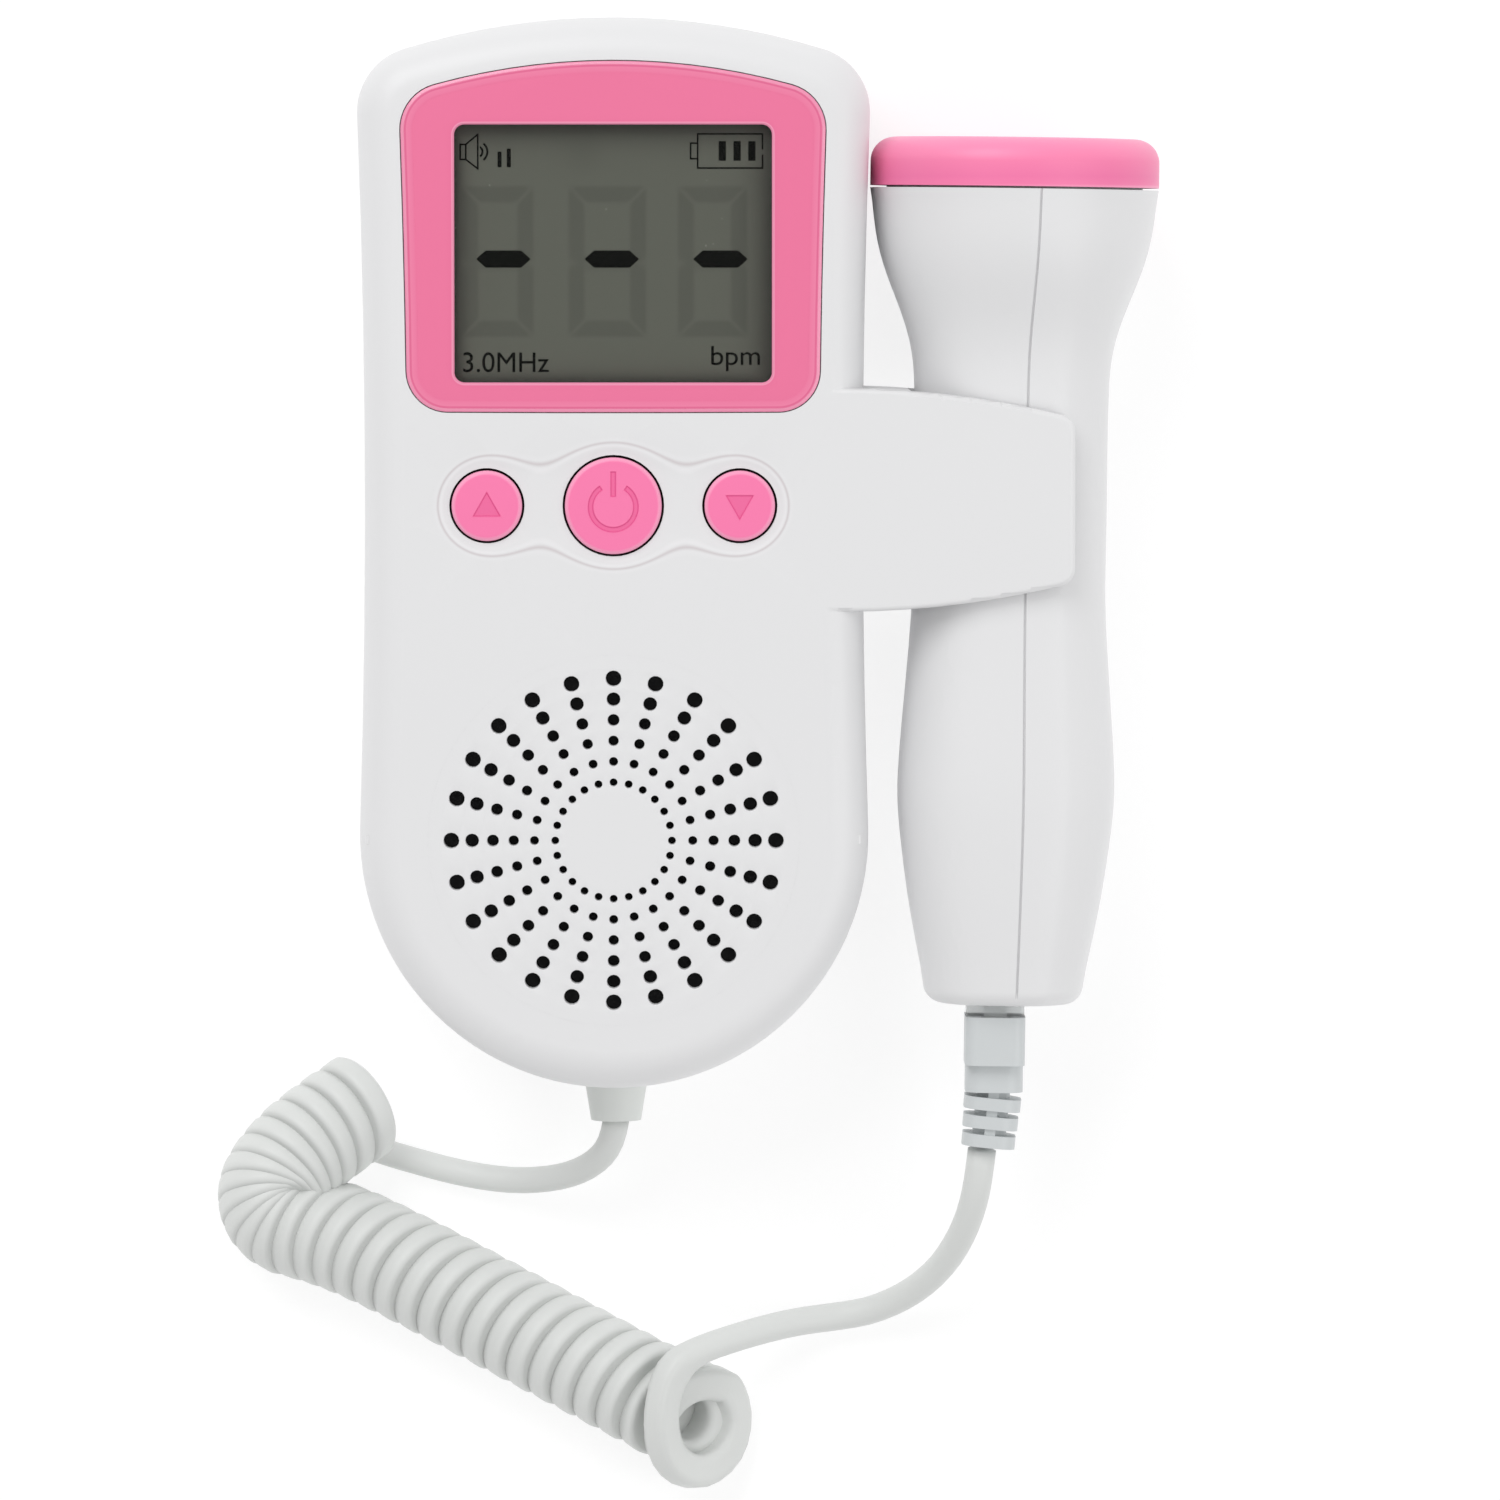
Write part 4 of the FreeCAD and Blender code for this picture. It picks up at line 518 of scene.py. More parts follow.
# The nodes that stay as they are, and the finish of each.
INNER_FINISHES = {
    ("lcd_holder",): Finish("holder_plastic", "D9DAD6", transmission=0.1),
    ("board_chips", "switch_cases", "probe_socket", "speaker_frame"):
        Finish("dark_plastic", "1C1D1F", roughness=0.45, spread=0.08, grain_scale=3000, grain_depth=8e-6),
    ("board_capacitors", "board_crystal"): Finish("can_metal", "B9BCC0", roughness=0.28, spread=0.04, **METAL),
    ("board_screws", "case_screws"):
        Finish("screw_steel", "A7A9AC", roughness=0.32, spread=0.08, metallic=1.0, grain_depth=6e-6),
    ("speaker_cone",):
        Finish("cone_paper", "2B2A28", roughness=0.85, spread=0.12, grain_scale=900, grain_depth=4e-5),
    ("speaker_magnet",): Finish("magnet_iron", "4A4B4E", spread=0.1, metallic=0.6),
    ("battery_springs", "battery_plates", "plug_contacts"):
        Finish("contact_metal", "C9B27A", roughness=0.25, spread=0.05, **METAL),
    ("transducer_elements",): Finish("ceramic", "D8D2C4", roughness=0.6, spread=0.05, grain_depth=8e-6),
    ("transducer_backing",): Finish("backing_resin", "5A4A3C", roughness=0.6, spread=0.1, grain_depth=2e-5),
    ("power_plunger", "volume_up_plunger", "volume_down_plunger"): Finish("plunger_plastic", "D0CFC8"),
    ("main_board", "probe_board"):
        BoardFinish("solder_mask", "0F5A32", roughness=0.3, spread=0.06, grain_depth=4e-6),
    ("lcd_connector",): StripedFinish("layered_rubber", "8C8C8A", second="1A1A1A", stripes=5000.0),
    ("battery_cells",):
        StripedFinish("cell_sleeve", "3A6EA5", second="C8CCD2", stripes=16.0, axis=1, share=0.2, roughness=0.3,
                      metallic=0.3),
    ("lcd_glass",): Finish("lcd_glass", "565A50", roughness=0.12, spread=0.02, grain_depth=5e-7),
}


def dress(piece: Piece, material: bpy.types.Material, body: str) -> Piece:
    """Give a piece its material and the body that it rides on."""
    piece.data.materials.clear()
    piece.data.materials.append(material)
    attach(piece, body)
    log.info("piece %s: body %s, finish %s, %d faces", piece.name, body, material.name, len(piece.data.polygons))
    return piece


# ---- Camera and light ------------------------------------------------------------------------
@dataclass
class Studio:
    """The camera, the soft lights and the pale floor."""

    aim: tuple = (0.0187, -0.0266, 0.035)
    stand: tuple = (0.0187, 0.0426, 1.235)
    field_width: float = 0.2055
    sensor: float = 36.0
    sky: float = 0.61

    def camera(self) -> None:
        """Set up the camera, whose view spans field_width at the unit's face."""
        data = bpy.data.cameras.new("camera")
        camera = linked("camera", data)
        camera.location = self.stand
        away = Vector(self.aim) - Vector(self.stand)
        camera.rotation_euler = (math.atan2(away.y, -away.z), 0.0, 0.0)
        data.sensor_width = self.sensor
        data.lens = self.sensor * away.length / self.field_width
        data.clip_start, data.clip_end = 0.05, 20.0
        bpy.context.scene.camera = camera
        bpy.context.scene.view_settings.view_transform = "Standard"

    def light(self, name: str, place: Sequence[float], size: float, power: float) -> None:
        """Add a square soft light that faces the part."""
        data = bpy.data.lights.new(name, "AREA")
        data.size, data.energy = size, power
        lamp = linked(name, data)
        lamp.location = place
        lamp.rotation_euler = (Vector(self.aim) - Vector(place)).to_track_quat("-Z", "Y").to_euler()

    def floor(self) -> None:
        """Lay the pale floor just under the part."""
        corner = np.array([[-1, -1], [1, -1], [1, 1], [-1, 1]]) * 3.0
        floor = mesh_object("floor", at_height(corner, -0.0001), [(0, 1, 2, 3)], smooth=False)
        floor.data.materials.append(FLOOR.build())

    def build(self) -> None:
        """Set up camera, lights, sky and floor."""
        self.camera()
        self.light("key", (-0.5, 0.9, 1.1), 0.9, 8.5)
        self.light("fill", (0.9, -0.3, 1.0), 1.0, 3.8)
        world = bpy.data.worlds.new("studio")
        bpy.context.scene.world = world
        world.use_nodes = True
        backing = world.node_tree.nodes["Background"]
        backing.inputs[0].default_value = (1.0, 1.0, 1.0, 1.0)
        backing.inputs[1].default_value = self.sky
        self.floor()


# ---- Cord ------------------------------------------------------------------------------------
@dataclass
class CurlyCord:
    """The cord: a lead from the gland, a curled length and a lead to the plug, as one line."""

    diameter: float = 0.0037
    coil_radius: float = 0.00543
    pitch: float = 0.00362
    points_per_turn: int = 20
    fan: float = 1.05
    lean: float = 34.0
    end_lean: float = 57.0
    end_growth: float = 1.06
    pressed_width: float = 0.93
    pressed_depth: float = 1.20
    squareness: float = 5.5
    probe_side: float = 1.07
    side_fade: float = 0.75
    end_spread: float = 0.75
    sides: int = 24
    clearance: float = 0.0004
    start_gap: float = 0.0010
    end_gap: float = 0.0022
    monitor_lead: tuple = (
        (0.0, -0.0795, 0.014), (-0.0004, -0.0822, 0.014), (-0.0022, -0.0852, 0.0124), (-0.0057, -0.0876, 0.0093),
        (-0.0105, -0.0889, 0.006), (-0.0159, -0.0892, 0.0034), (-0.0222, -0.0883, 0.0022),
        (-0.0286, -0.0866, 0.00205), (-0.0346, -0.0848, 0.00205), (-0.0386, -0.0828, 0.00215),
    )
    coil_route: tuple = (
        (-0.0346, -0.0774), (-0.0420, -0.0823), (-0.0467, -0.0868), (-0.0489, -0.0907), (-0.0473, -0.0944),
        (-0.0415, -0.0957), (-0.033, -0.0992), (-0.012, -0.1104), (0.0124, -0.1233),
    )
    probe_lead: tuple = (
        (0.05095, -0.0831, 0.0203), (0.05055, -0.0869, 0.0199), (0.0497, -0.0916, 0.0178),
        (0.048, -0.0965, 0.0142), (0.0452, -0.1012, 0.01), (0.0412, -0.105, 0.006), (0.036, -0.1077, 0.0032),
        (0.031, -0.1086, 0.0026), (0.0262, -0.1090, 0.0040), (0.0214, -0.1097, 0.0066),
        (0.0163, -0.1108, 0.0098), (0.0112, -0.1122, 0.0126),
    )
    end_ring: tuple = (
        (0.0155, -0.1187, 0.0049), (0.0169, -0.1232, 0.0032), (0.0152, -0.1281, 0.0042),
        (0.0111, -0.1305, 0.0074), (0.0074, -0.1281, 0.0108), (0.0061, -0.1231, 0.0131),
        (0.0066, -0.1180, 0.0139), (0.0081, -0.1144, 0.0137),
    )
    end_across: tuple = (0.815, 0.078, 0.574)

    @staticmethod
    def line(points: Sequence, resolution: int) -> Array:
        """Return the points of the smooth line that a row of control points gives.

        Args:
            points: the control points of one open spline of order 3.
            resolution: points for each span.
        """
        data = bpy.data.curves.new("route", "CURVE")
        data.dimensions = "3D"
        spline = data.splines.new("NURBS")
        spline.points.add(len(points) - 1)
        weighted = np.column_stack([points, np.ones(len(points))])
        spline.points.foreach_set("co", weighted.astype(np.float32).ravel())
        spline.order_u = 3
        spline.use_endpoint_u = True
        spline.resolution_u = resolution
        mesh = evaluated(data)
        places = places_of(mesh)
        bpy.data.meshes.remove(mesh)
        bpy.data.curves.remove(data)
        return places.astype(float)

    def turns(self) -> tuple[Array, Array, Array]:
        """Return the curled length's control points, the way across each turn and the section's spread.

        A point stands at a growing angle a round the coil's own line: sideways by the radius
        times cos a, and up by the radius times sin a. Each turn leans back, so that its top lags,
        and the last ones lean more. In a bend the turns crowd by 1 plus fan times the bend's
        curvature times the coil's outer radius. A turn's lowest point stays near the surface.
        """
        base = self.line(at_height(np.array(self.coil_route), 0.0), 40)[:, :2]
        run = np.concatenate([[0], np.cumsum(np.linalg.norm(np.diff(base, axis=0), axis=1))])
        s = np.linspace(0, run[-1], 1200)
        centre = np.column_stack([np.interp(s, run, base[:, k]) for k in range(2)])
        heading = np.unwrap(np.arctan2(np.gradient(centre[:, 1]), np.gradient(centre[:, 0])))
        reach = 50
        window = np.hanning(2 * reach + 1)
        heading = np.convolve(np.pad(heading, reach, mode="edge"), window / window.sum(), mode="valid")
        bend = np.abs(np.gradient(heading, s))
        outer = self.coil_radius + self.diameter / 2
        crowd = (1 + self.fan * bend * outer) / self.pitch
        count = np.concatenate([[0], np.cumsum((crowd[1:] + crowd[:-1]) / 2 * np.diff(s))])
        first, last = -0.5 * math.pi, math.pi
        inside = (s >= self.start_gap) & (s <= run[-1] - self.end_gap)
        low, high = count[inside][0], count[inside][-1]
        whole = round(high - low)
        angle = np.linspace(first, last + 2 * math.pi * whole, whole * self.points_per_turn)
        share = (angle - angle[0]) / (angle[-1] - angle[0])
        place = np.interp(low + share * (high - low), count, s)
        centre = at_height(np.column_stack([np.interp(place, s, centre[:, k]) for k in range(2)]), 0.0)
        way = np.interp(place, s, heading)
        ahead = np.column_stack([np.cos(way), np.sin(way), np.zeros(len(way))])
        right = np.column_stack([ahead[:, 1], -ahead[:, 0], np.zeros(len(way))])
        closing = np.exp(-((1 - share) * whole / 1.5) ** 2)
        lean = np.radians(self.lean + (self.end_lean - self.lean) * closing)
        growth = 1 + (self.end_growth - 1) * closing
        radius = self.coil_radius / math.cos(math.pi / self.points_per_turn) * growth
        side, height = radius * np.cos(angle), radius * np.sin(angle)
        centre += ahead * (radius * (np.sin(lean) - math.sin(math.radians(self.lean))))[:, None]
        centre[:, 2] = self.diameter / 2 * self.pressed_depth + self.clearance + radius * np.cos(lean)
        points = centre + right * side[:, None] - ahead * (np.sin(lean) * height)[:, None]
        points[:, 2] += np.cos(lean) * height
        across = ahead * np.cos(lean)[:, None]
        across[:, 2] = np.sin(lean)
        spread = 1 + self.end_spread * closing * np.maximum(-np.sin(angle), 0)
        return points, across, spread

    def section(self, offset: Array, tangent: Array, across: Array,
                spread: Array) -> tuple[Array, Array]:
        """Return how far each ring point stands from the line, as a share of its radius, and its side.

        In the coil the section is a rounded oblong, |x / a| ** k + |y / b| ** k = 1, narrow
        across the turn's plane and deep along it. Its share grows with the length of across.

        Args:
            offset: (rings, sides, 3) unit directions from the line to the ring's points.
            tangent: (rings, 3) the line's directions.
            across: (rings, 3) the direction across the turn's plane; short or nil on the leads.
            spread: (rings,) the section's width, as a share of its usual one.

        Returns:
            The shares, and each point's side: -1 towards the unit's end of the coil, 1 towards the other.
        """
        share = np.linalg.norm(across, axis=1)
        plain = across - tangent * np.sum(across * tangent, axis=1)[:, None]
        plain /= np.maximum(np.linalg.norm(plain, axis=1), 1e-9)[:, None]
        side = np.einsum("rsk,rk->rs", offset, plain)
        cosine = np.abs(side)
        sine = np.sqrt(np.clip(1 - cosine ** 2, 0, 1))
        power = self.squareness
        wide = (cosine / self.pressed_width / spread[:, None]) ** power
        pressed = (wide + (sine / self.pressed_depth) ** power) ** (-1 / power)
        weight = np.clip(share, 0, 1)[:, None]
        return 1 + weight * (pressed - 1), weight * side

    def build(self, ends: list) -> Piece:
        """Return the cord as a tube along its line, with the seam and the ends closed.

        The tube's points are each ring centre plus the radius times (cos a, sin a) in the plane
        across the line, whose axes are carried along without twist. In the coil the section is
        pressed, and on the probe's side it is a little thicker.
        """
        turns, across_turns, spread = self.turns()
        before, after, tail = len(self.monitor_lead), len(self.probe_lead), 20
        control = np.vstack([self.monitor_lead, turns, self.end_ring, self.probe_lead[::-1]])
        centres = self.line(control, 3)
        ring = len(self.end_ring)
        across_ring = np.tile(self.end_across, (ring, 1))
        across = np.vstack([np.zeros((before, 3)), across_turns, across_ring, np.zeros((after, 3))])
        pressed = self.line(across, 3)
        thick = np.full(tail + ring + after, self.probe_side)
        swell = np.concatenate([np.ones(before + len(turns) - tail), thick])
        spread = np.concatenate([np.ones(before), spread, np.ones(ring + after)])
        swell, spread, _ = self.line(np.column_stack([swell, spread, np.arange(len(swell))]), 3).T
        keep = np.concatenate([[True], np.linalg.norm(np.diff(centres, axis=0), axis=1) > 1e-6])
        centres, pressed, swell, spread = centres[keep], pressed[keep], swell[keep], spread[keep]
        tangent = np.gradient(centres, axis=0)
        tangent /= np.linalg.norm(tangent, axis=1)[:, None]
        across = self.carried(tangent)
        up = np.cross(tangent, across)
        angle = np.linspace(0, 2 * math.pi, self.sides, endpoint=False)
        offset = np.cos(angle)[None, :, None] * across[:, None] + np.sin(angle)[None, :, None] * up[:, None]
        reach, side = self.section(offset, tangent, pressed, spread)
        reach = self.diameter / 2 * swell[:, None] * reach
        # Weaker painted crease shade and painted highlight on the probe's side, by side_fade.
        side = side * (1 - self.side_fade * (swell - 1) / (self.probe_side - 1))[:, None]
        rings = centres[:, None] + reach[..., None] * offset
        faces = grid_faces(len(centres), self.sides, wrap_columns=True).tolist()
        faces += [list(range(self.sides))[::-1]]
        faces += [[(len(centres) - 1) * self.sides + k for k in range(self.sides)]]
        cord = mesh_object("curly_cord", rings.reshape(-1, 3), faces)
        # The side attribute drives the cord's painted crease shade and painted highlight.
        carry(cord, "side", side)
        cord.data.materials.append(CORD_RUBBER.build())
        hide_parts("cord_lead_monitor", "cord_coil", "cord_lead_probe")
        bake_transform(cord)
        return cord

    @staticmethod
    def carried(tangent: Array) -> Array:
        """Return a direction across the line at each ring, carried from ring to ring without twist."""
        across = np.empty_like(tangent)
        start = np.cross(tangent[0], (0.0, 0.0, 1.0))
        current = start / np.linalg.norm(start)
        for i, t in enumerate(tangent):
            current = current - t * current.dot(t)
            current /= np.linalg.norm(current)
            across[i] = current
        return across


# ---- Grille ----------------------------------------------------------------------------------
@dataclass
class Grille:
    """The loudspeaker's grille: rings of round holes with eased rims, in the unit's face."""

    centre_y: float = -0.03905
    face: float = 0.035
    floor: float = 0.0326
    first_ring: float = 0.008
    ring_step: float = 0.00285
    first_hole: float = 0.00055
    growth: float = 1.15
    inset: float = 0.985
    rings: int = 6
    spokes: int = 24
    sides: int = 16
    proud: float = 0.00002
    reach: float = 0.0265
    ease: tuple = ((0.00016, 0.0), (0.00005, 0.00004), (0.0, 0.00016))

    def cells(self) -> tuple[Array, Array]:
        """Return the points and faces of all the holes' cells.

        Each cell is the piece of ring around one hole. Its rows go from the cell's border to the
        eased rim and down the hole's wall. A border point lies on the cell's two arcs and two
        straight sides; a rim point is the hole's centre plus its radius times (cos a, sin a).
        """
        quarter = self.sides // 4
        t = np.arange(quarter) / quarter
        one, out = np.ones(quarter), np.concatenate
        u = out([one, 1 - 2 * t, -one, 2 * t - 1])
        v = out([2 * t - 1, one, 1 - 2 * t, -one])
        ring, spoke = np.meshgrid(np.arange(self.rings), np.arange(self.spokes), indexing="ij")
        ring, spoke = ring.reshape(-1, 1), spoke.reshape(-1, 1)
        distance = self.first_ring + ring * self.ring_step
        turn = 2 * math.pi * spoke / self.spokes
        hole = self.first_hole * self.growth ** ring * self.inset
        border_r = distance + u[None] * self.ring_step / 2
        border_a = turn + v[None] * math.pi / self.spokes
        border = np.stack([border_r * np.cos(border_a), border_r * np.sin(border_a)], axis=-1)
        centre = np.stack([distance * np.cos(turn), distance * np.sin(turn)], axis=-1)
        angle = np.arctan2(v, u)[None] + turn
        round_ = np.stack([np.cos(angle), np.sin(angle)], axis=-1)
        top = self.face + self.proud
        rows = [(border, top)]
        for grow, drop in self.ease:
            rows.append((centre + (hole + grow)[..., None] * round_, top - drop))
        rows.append((centre + hole[..., None] * round_, self.floor))
        rows = [np.concatenate([xy, np.full(xy.shape[:2] + (1,), z)], axis=-1) for xy, z in rows]
        points = np.stack(rows, axis=1)
        count, levels = points.shape[:2]
        faces = grid_faces(levels, self.sides, wrap_columns=True)[:, ::-1]
        faces = (faces[None] + (np.arange(count) * levels * self.sides)[:, None, None]).reshape(-1, 4)
        return points.reshape(-1, 3), faces

    def flats(self) -> tuple[Array, Array]:
        """Return the plain disc within the holes and the border outside them, which sinks into the face."""
        around = self.spokes * self.sides // 4
        angle = -math.pi / self.spokes + 2 * math.pi * np.arange(around) / around
        inner, outer = self.first_ring - self.ring_step / 2, self.first_ring + (self.rings - 0.5) * self.ring_step
        top = self.face + self.proud
        levels = [(1e-6, top), (inner / 2, top), (inner, top), (outer, top), (outer + 0.0008, top),
                  (self.reach, self.face - self.proud)]
        circle = np.column_stack([np.cos(angle), np.sin(angle)])
        rings = [at_height(r * circle, z) for r, z in levels]
        faces = [grid_faces(3, around, wrap_columns=True), 3 * around + grid_faces(3, around, wrap_columns=True)]
        return np.vstack(rings), np.vstack(faces)

    def build(self) -> Piece:
        """Make and dress the grille's face."""
        hole_points, hole_faces = self.cells()
        flat_points, flat_faces = self.flats()
        points = np.vstack([hole_points, flat_points])
        points[:, 1] += self.centre_y
        faces = hole_faces.tolist() + (flat_faces + len(hole_points)).tolist()
        grille = merged(mesh_object("grille_face", points, faces), crease=50)
        dress(grille, HOUSING.build(), "monitor")
        dress(refined("grille_cloth", "grille_cloth_weave"), CLOTH.build(), "monitor")
        return grille


# ---- Buttons ---------------------------------------------------------------------------------
class Symbol(Enum):
    """The sign sunk into a button."""

    POWER = "power"
    UP = "up"
    DOWN = "down"


@dataclass
class Keycap:
    """One button: a softly crowned cap with a rounded rim, a sunk symbol and a flange below."""

    name: str
    x: float
    radius: float
    symbol: Symbol
    y: float = 0.00685
    top: float = 0.0355
    rim: float = 0.0007
    crown: float = 0.00012
    sink: float = 0.00013
    soft: float = 0.00012
    lip_width: float = 0.00007
    lip_height: float = 0.00002
    flange_top: float = 0.0307
    flange_low: float = 0.0298
    flange_width: float = 0.0012
    points: int = 201

    def outline(self, x: Array, y: Array) -> Array:
        """Return the distance in metres from the symbol's edge at each place, less than 0 inside.

        A triangle is the greatest of its three sides' distances. The power sign is the least of
        a ring that is open at the top and an upright bar.
        """
        if self.symbol is Symbol.POWER:
            half_line, ring_radius, ring_drop, gap_half = 0.00032, 0.0031, 0.00016, math.radians(33)
            bar_middle, bar_half = 0.00297, 0.00168
            up = y + ring_drop
            r, a = np.hypot(x, up), np.abs(np.arctan2(x, up))
            ring = np.maximum(np.abs(r - ring_radius) - half_line, (gap_half - a) * r)
            return np.minimum(ring, np.maximum(np.abs(x) - half_line, np.abs(y - bar_middle) - bar_half))
        sign = 1.0 if self.symbol is Symbol.UP else -1.0
        h, half = sign * y + 0.00001, 0.00185
        low, high = -0.0014, 0.00185
        slope = half / (high - low)
        side = (np.abs(x) - (high - h) * slope) / math.hypot(1, slope)
        return np.maximum(side, low - h)

    def build(self, material: bpy.types.Material) -> Piece:
        """Make and dress the cap.

        The top is a square grid drawn onto a disc: x = u sqrt(1 - v v / 2), y = v sqrt(1 - u u / 2).
        Its height falls by the crown times r r, then along a quarter circle at the rim, and the
        symbol is sunk with soft walls. The skirt, the flange and the underside follow the disc's
        border, ring by ring.
        """
        u, v = np.meshgrid(np.linspace(-1, 1, self.points), np.linspace(-1, 1, self.points))
        x, y = self.radius * u * np.sqrt(1 - v * v / 2), self.radius * v * np.sqrt(1 - u * u / 2)
        r = np.minimum(np.hypot(x, y), self.radius)
        over = np.clip((r - self.radius + self.rim) / self.rim, 0, 1)
        distance = self.outline(x, y)
        sunk = np.clip(0.5 - distance / self.soft, 0, 1)
        sunk = sunk * sunk * (3 - 2 * sunk)
        lip = np.exp(-((distance - self.soft) / self.lip_width) ** 2)
        z = self.top - self.crown * (r / self.radius) ** 2 - self.rim * (1 - np.sqrt(1 - over ** 2 * 0.9999))
        z = z - self.sink * sunk + self.lip_height * lip
        cap = np.column_stack([x.ravel() + self.x, y.ravel() + self.y, z.ravel()])
        n = self.points
        index = np.arange(n * n).reshape(n, n)
        border = np.concatenate([index[0, :-1], index[:-1, -1], index[-1, :0:-1], index[:0:-1, 0]])
        way = (cap[border, :2] - (self.x, self.y)) / self.radius
        wide = self.radius + self.flange_width
        profile = [(self.radius, self.flange_top), (wide, self.flange_top), (wide, self.flange_low),
                   (self.radius * 0.5, self.flange_low)]
        rings = [at_height(way * r + (self.x, self.y), z) for r, z in profile]
        count = len(border)
        faces = grid_faces(n, n).tolist()
        loops = np.vstack([border] + [n * n + k * count + np.arange(count) for k in range(len(profile))])
        quads = grid_faces(len(loops), count, wrap_columns=True)
        faces += loops.ravel()[quads][:, ::-1].tolist() + [loops[-1].tolist()[::-1]]
        piece = mesh_object(f"{self.name}_keycap", np.vstack([cap] + rings), faces)
        piece.data.set_sharp_from_angle(angle=math.radians(60))
        # Painted shade in the sunk symbol and in a thin dark line along its edge; the rim values are a painted
        # highlight.
        mark = np.clip(0.42 * sunk + 0.6 * np.exp(-(distance / 0.0001) ** 2), 0, 1)
        for key, values in (("sunk", mark), ("rim", np.clip((over - 0.1) / 0.5, 0, 1))):
            data = np.zeros(len(piece.data.vertices), np.float32)
            data[:n * n] = values.ravel()
            carry(piece, key, data)
        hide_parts(f"{self.name}_button")
        return dress(piece, material, self.name)


KEYCAPS = (
    Keycap("power", 0.0, 0.00665, Symbol.POWER, points=251),
    Keycap("volume_up", -0.0173, 0.00485, Symbol.UP),
    Keycap("volume_down", 0.0173, 0.00485, Symbol.DOWN),
)


# ---- Display ---------------------------------------------------------------------------------
def bar(x0: float, x1: float, y0: float, y1: float) -> list:
    """Return a rectangle's corners from its sides in millimetres."""
    return [(x0, y0), (x1, y0), (x1, y1), (x0, y1)]


def stroke(a: tuple, b: tuple, width: float = 0.22) -> list:
    """Return the corners of a straight line of some width, its ends squared half a width further out."""
    a, b = np.array(a, float), np.array(b, float)
    way = (b - a) / np.linalg.norm(b - a) * width / 2
    side = np.array([-way[1], way[0]])
    return [tuple(p) for p in (a - way - side, b + way - side, b + way + side, a - way + side)]


def bow(x: float, y: float, radius: float, half: float, width: float = 0.28) -> list:
    """Return the outline of an arc's band about the +X direction, its half angle in degrees."""
    angle = np.radians(np.linspace(-half, half, 17))
    rims = ((radius + width / 2, angle), (radius - width / 2, angle[::-1]))
    return [(x + r * math.cos(a), y + r * math.sin(a)) for r, along in rims for a in along]


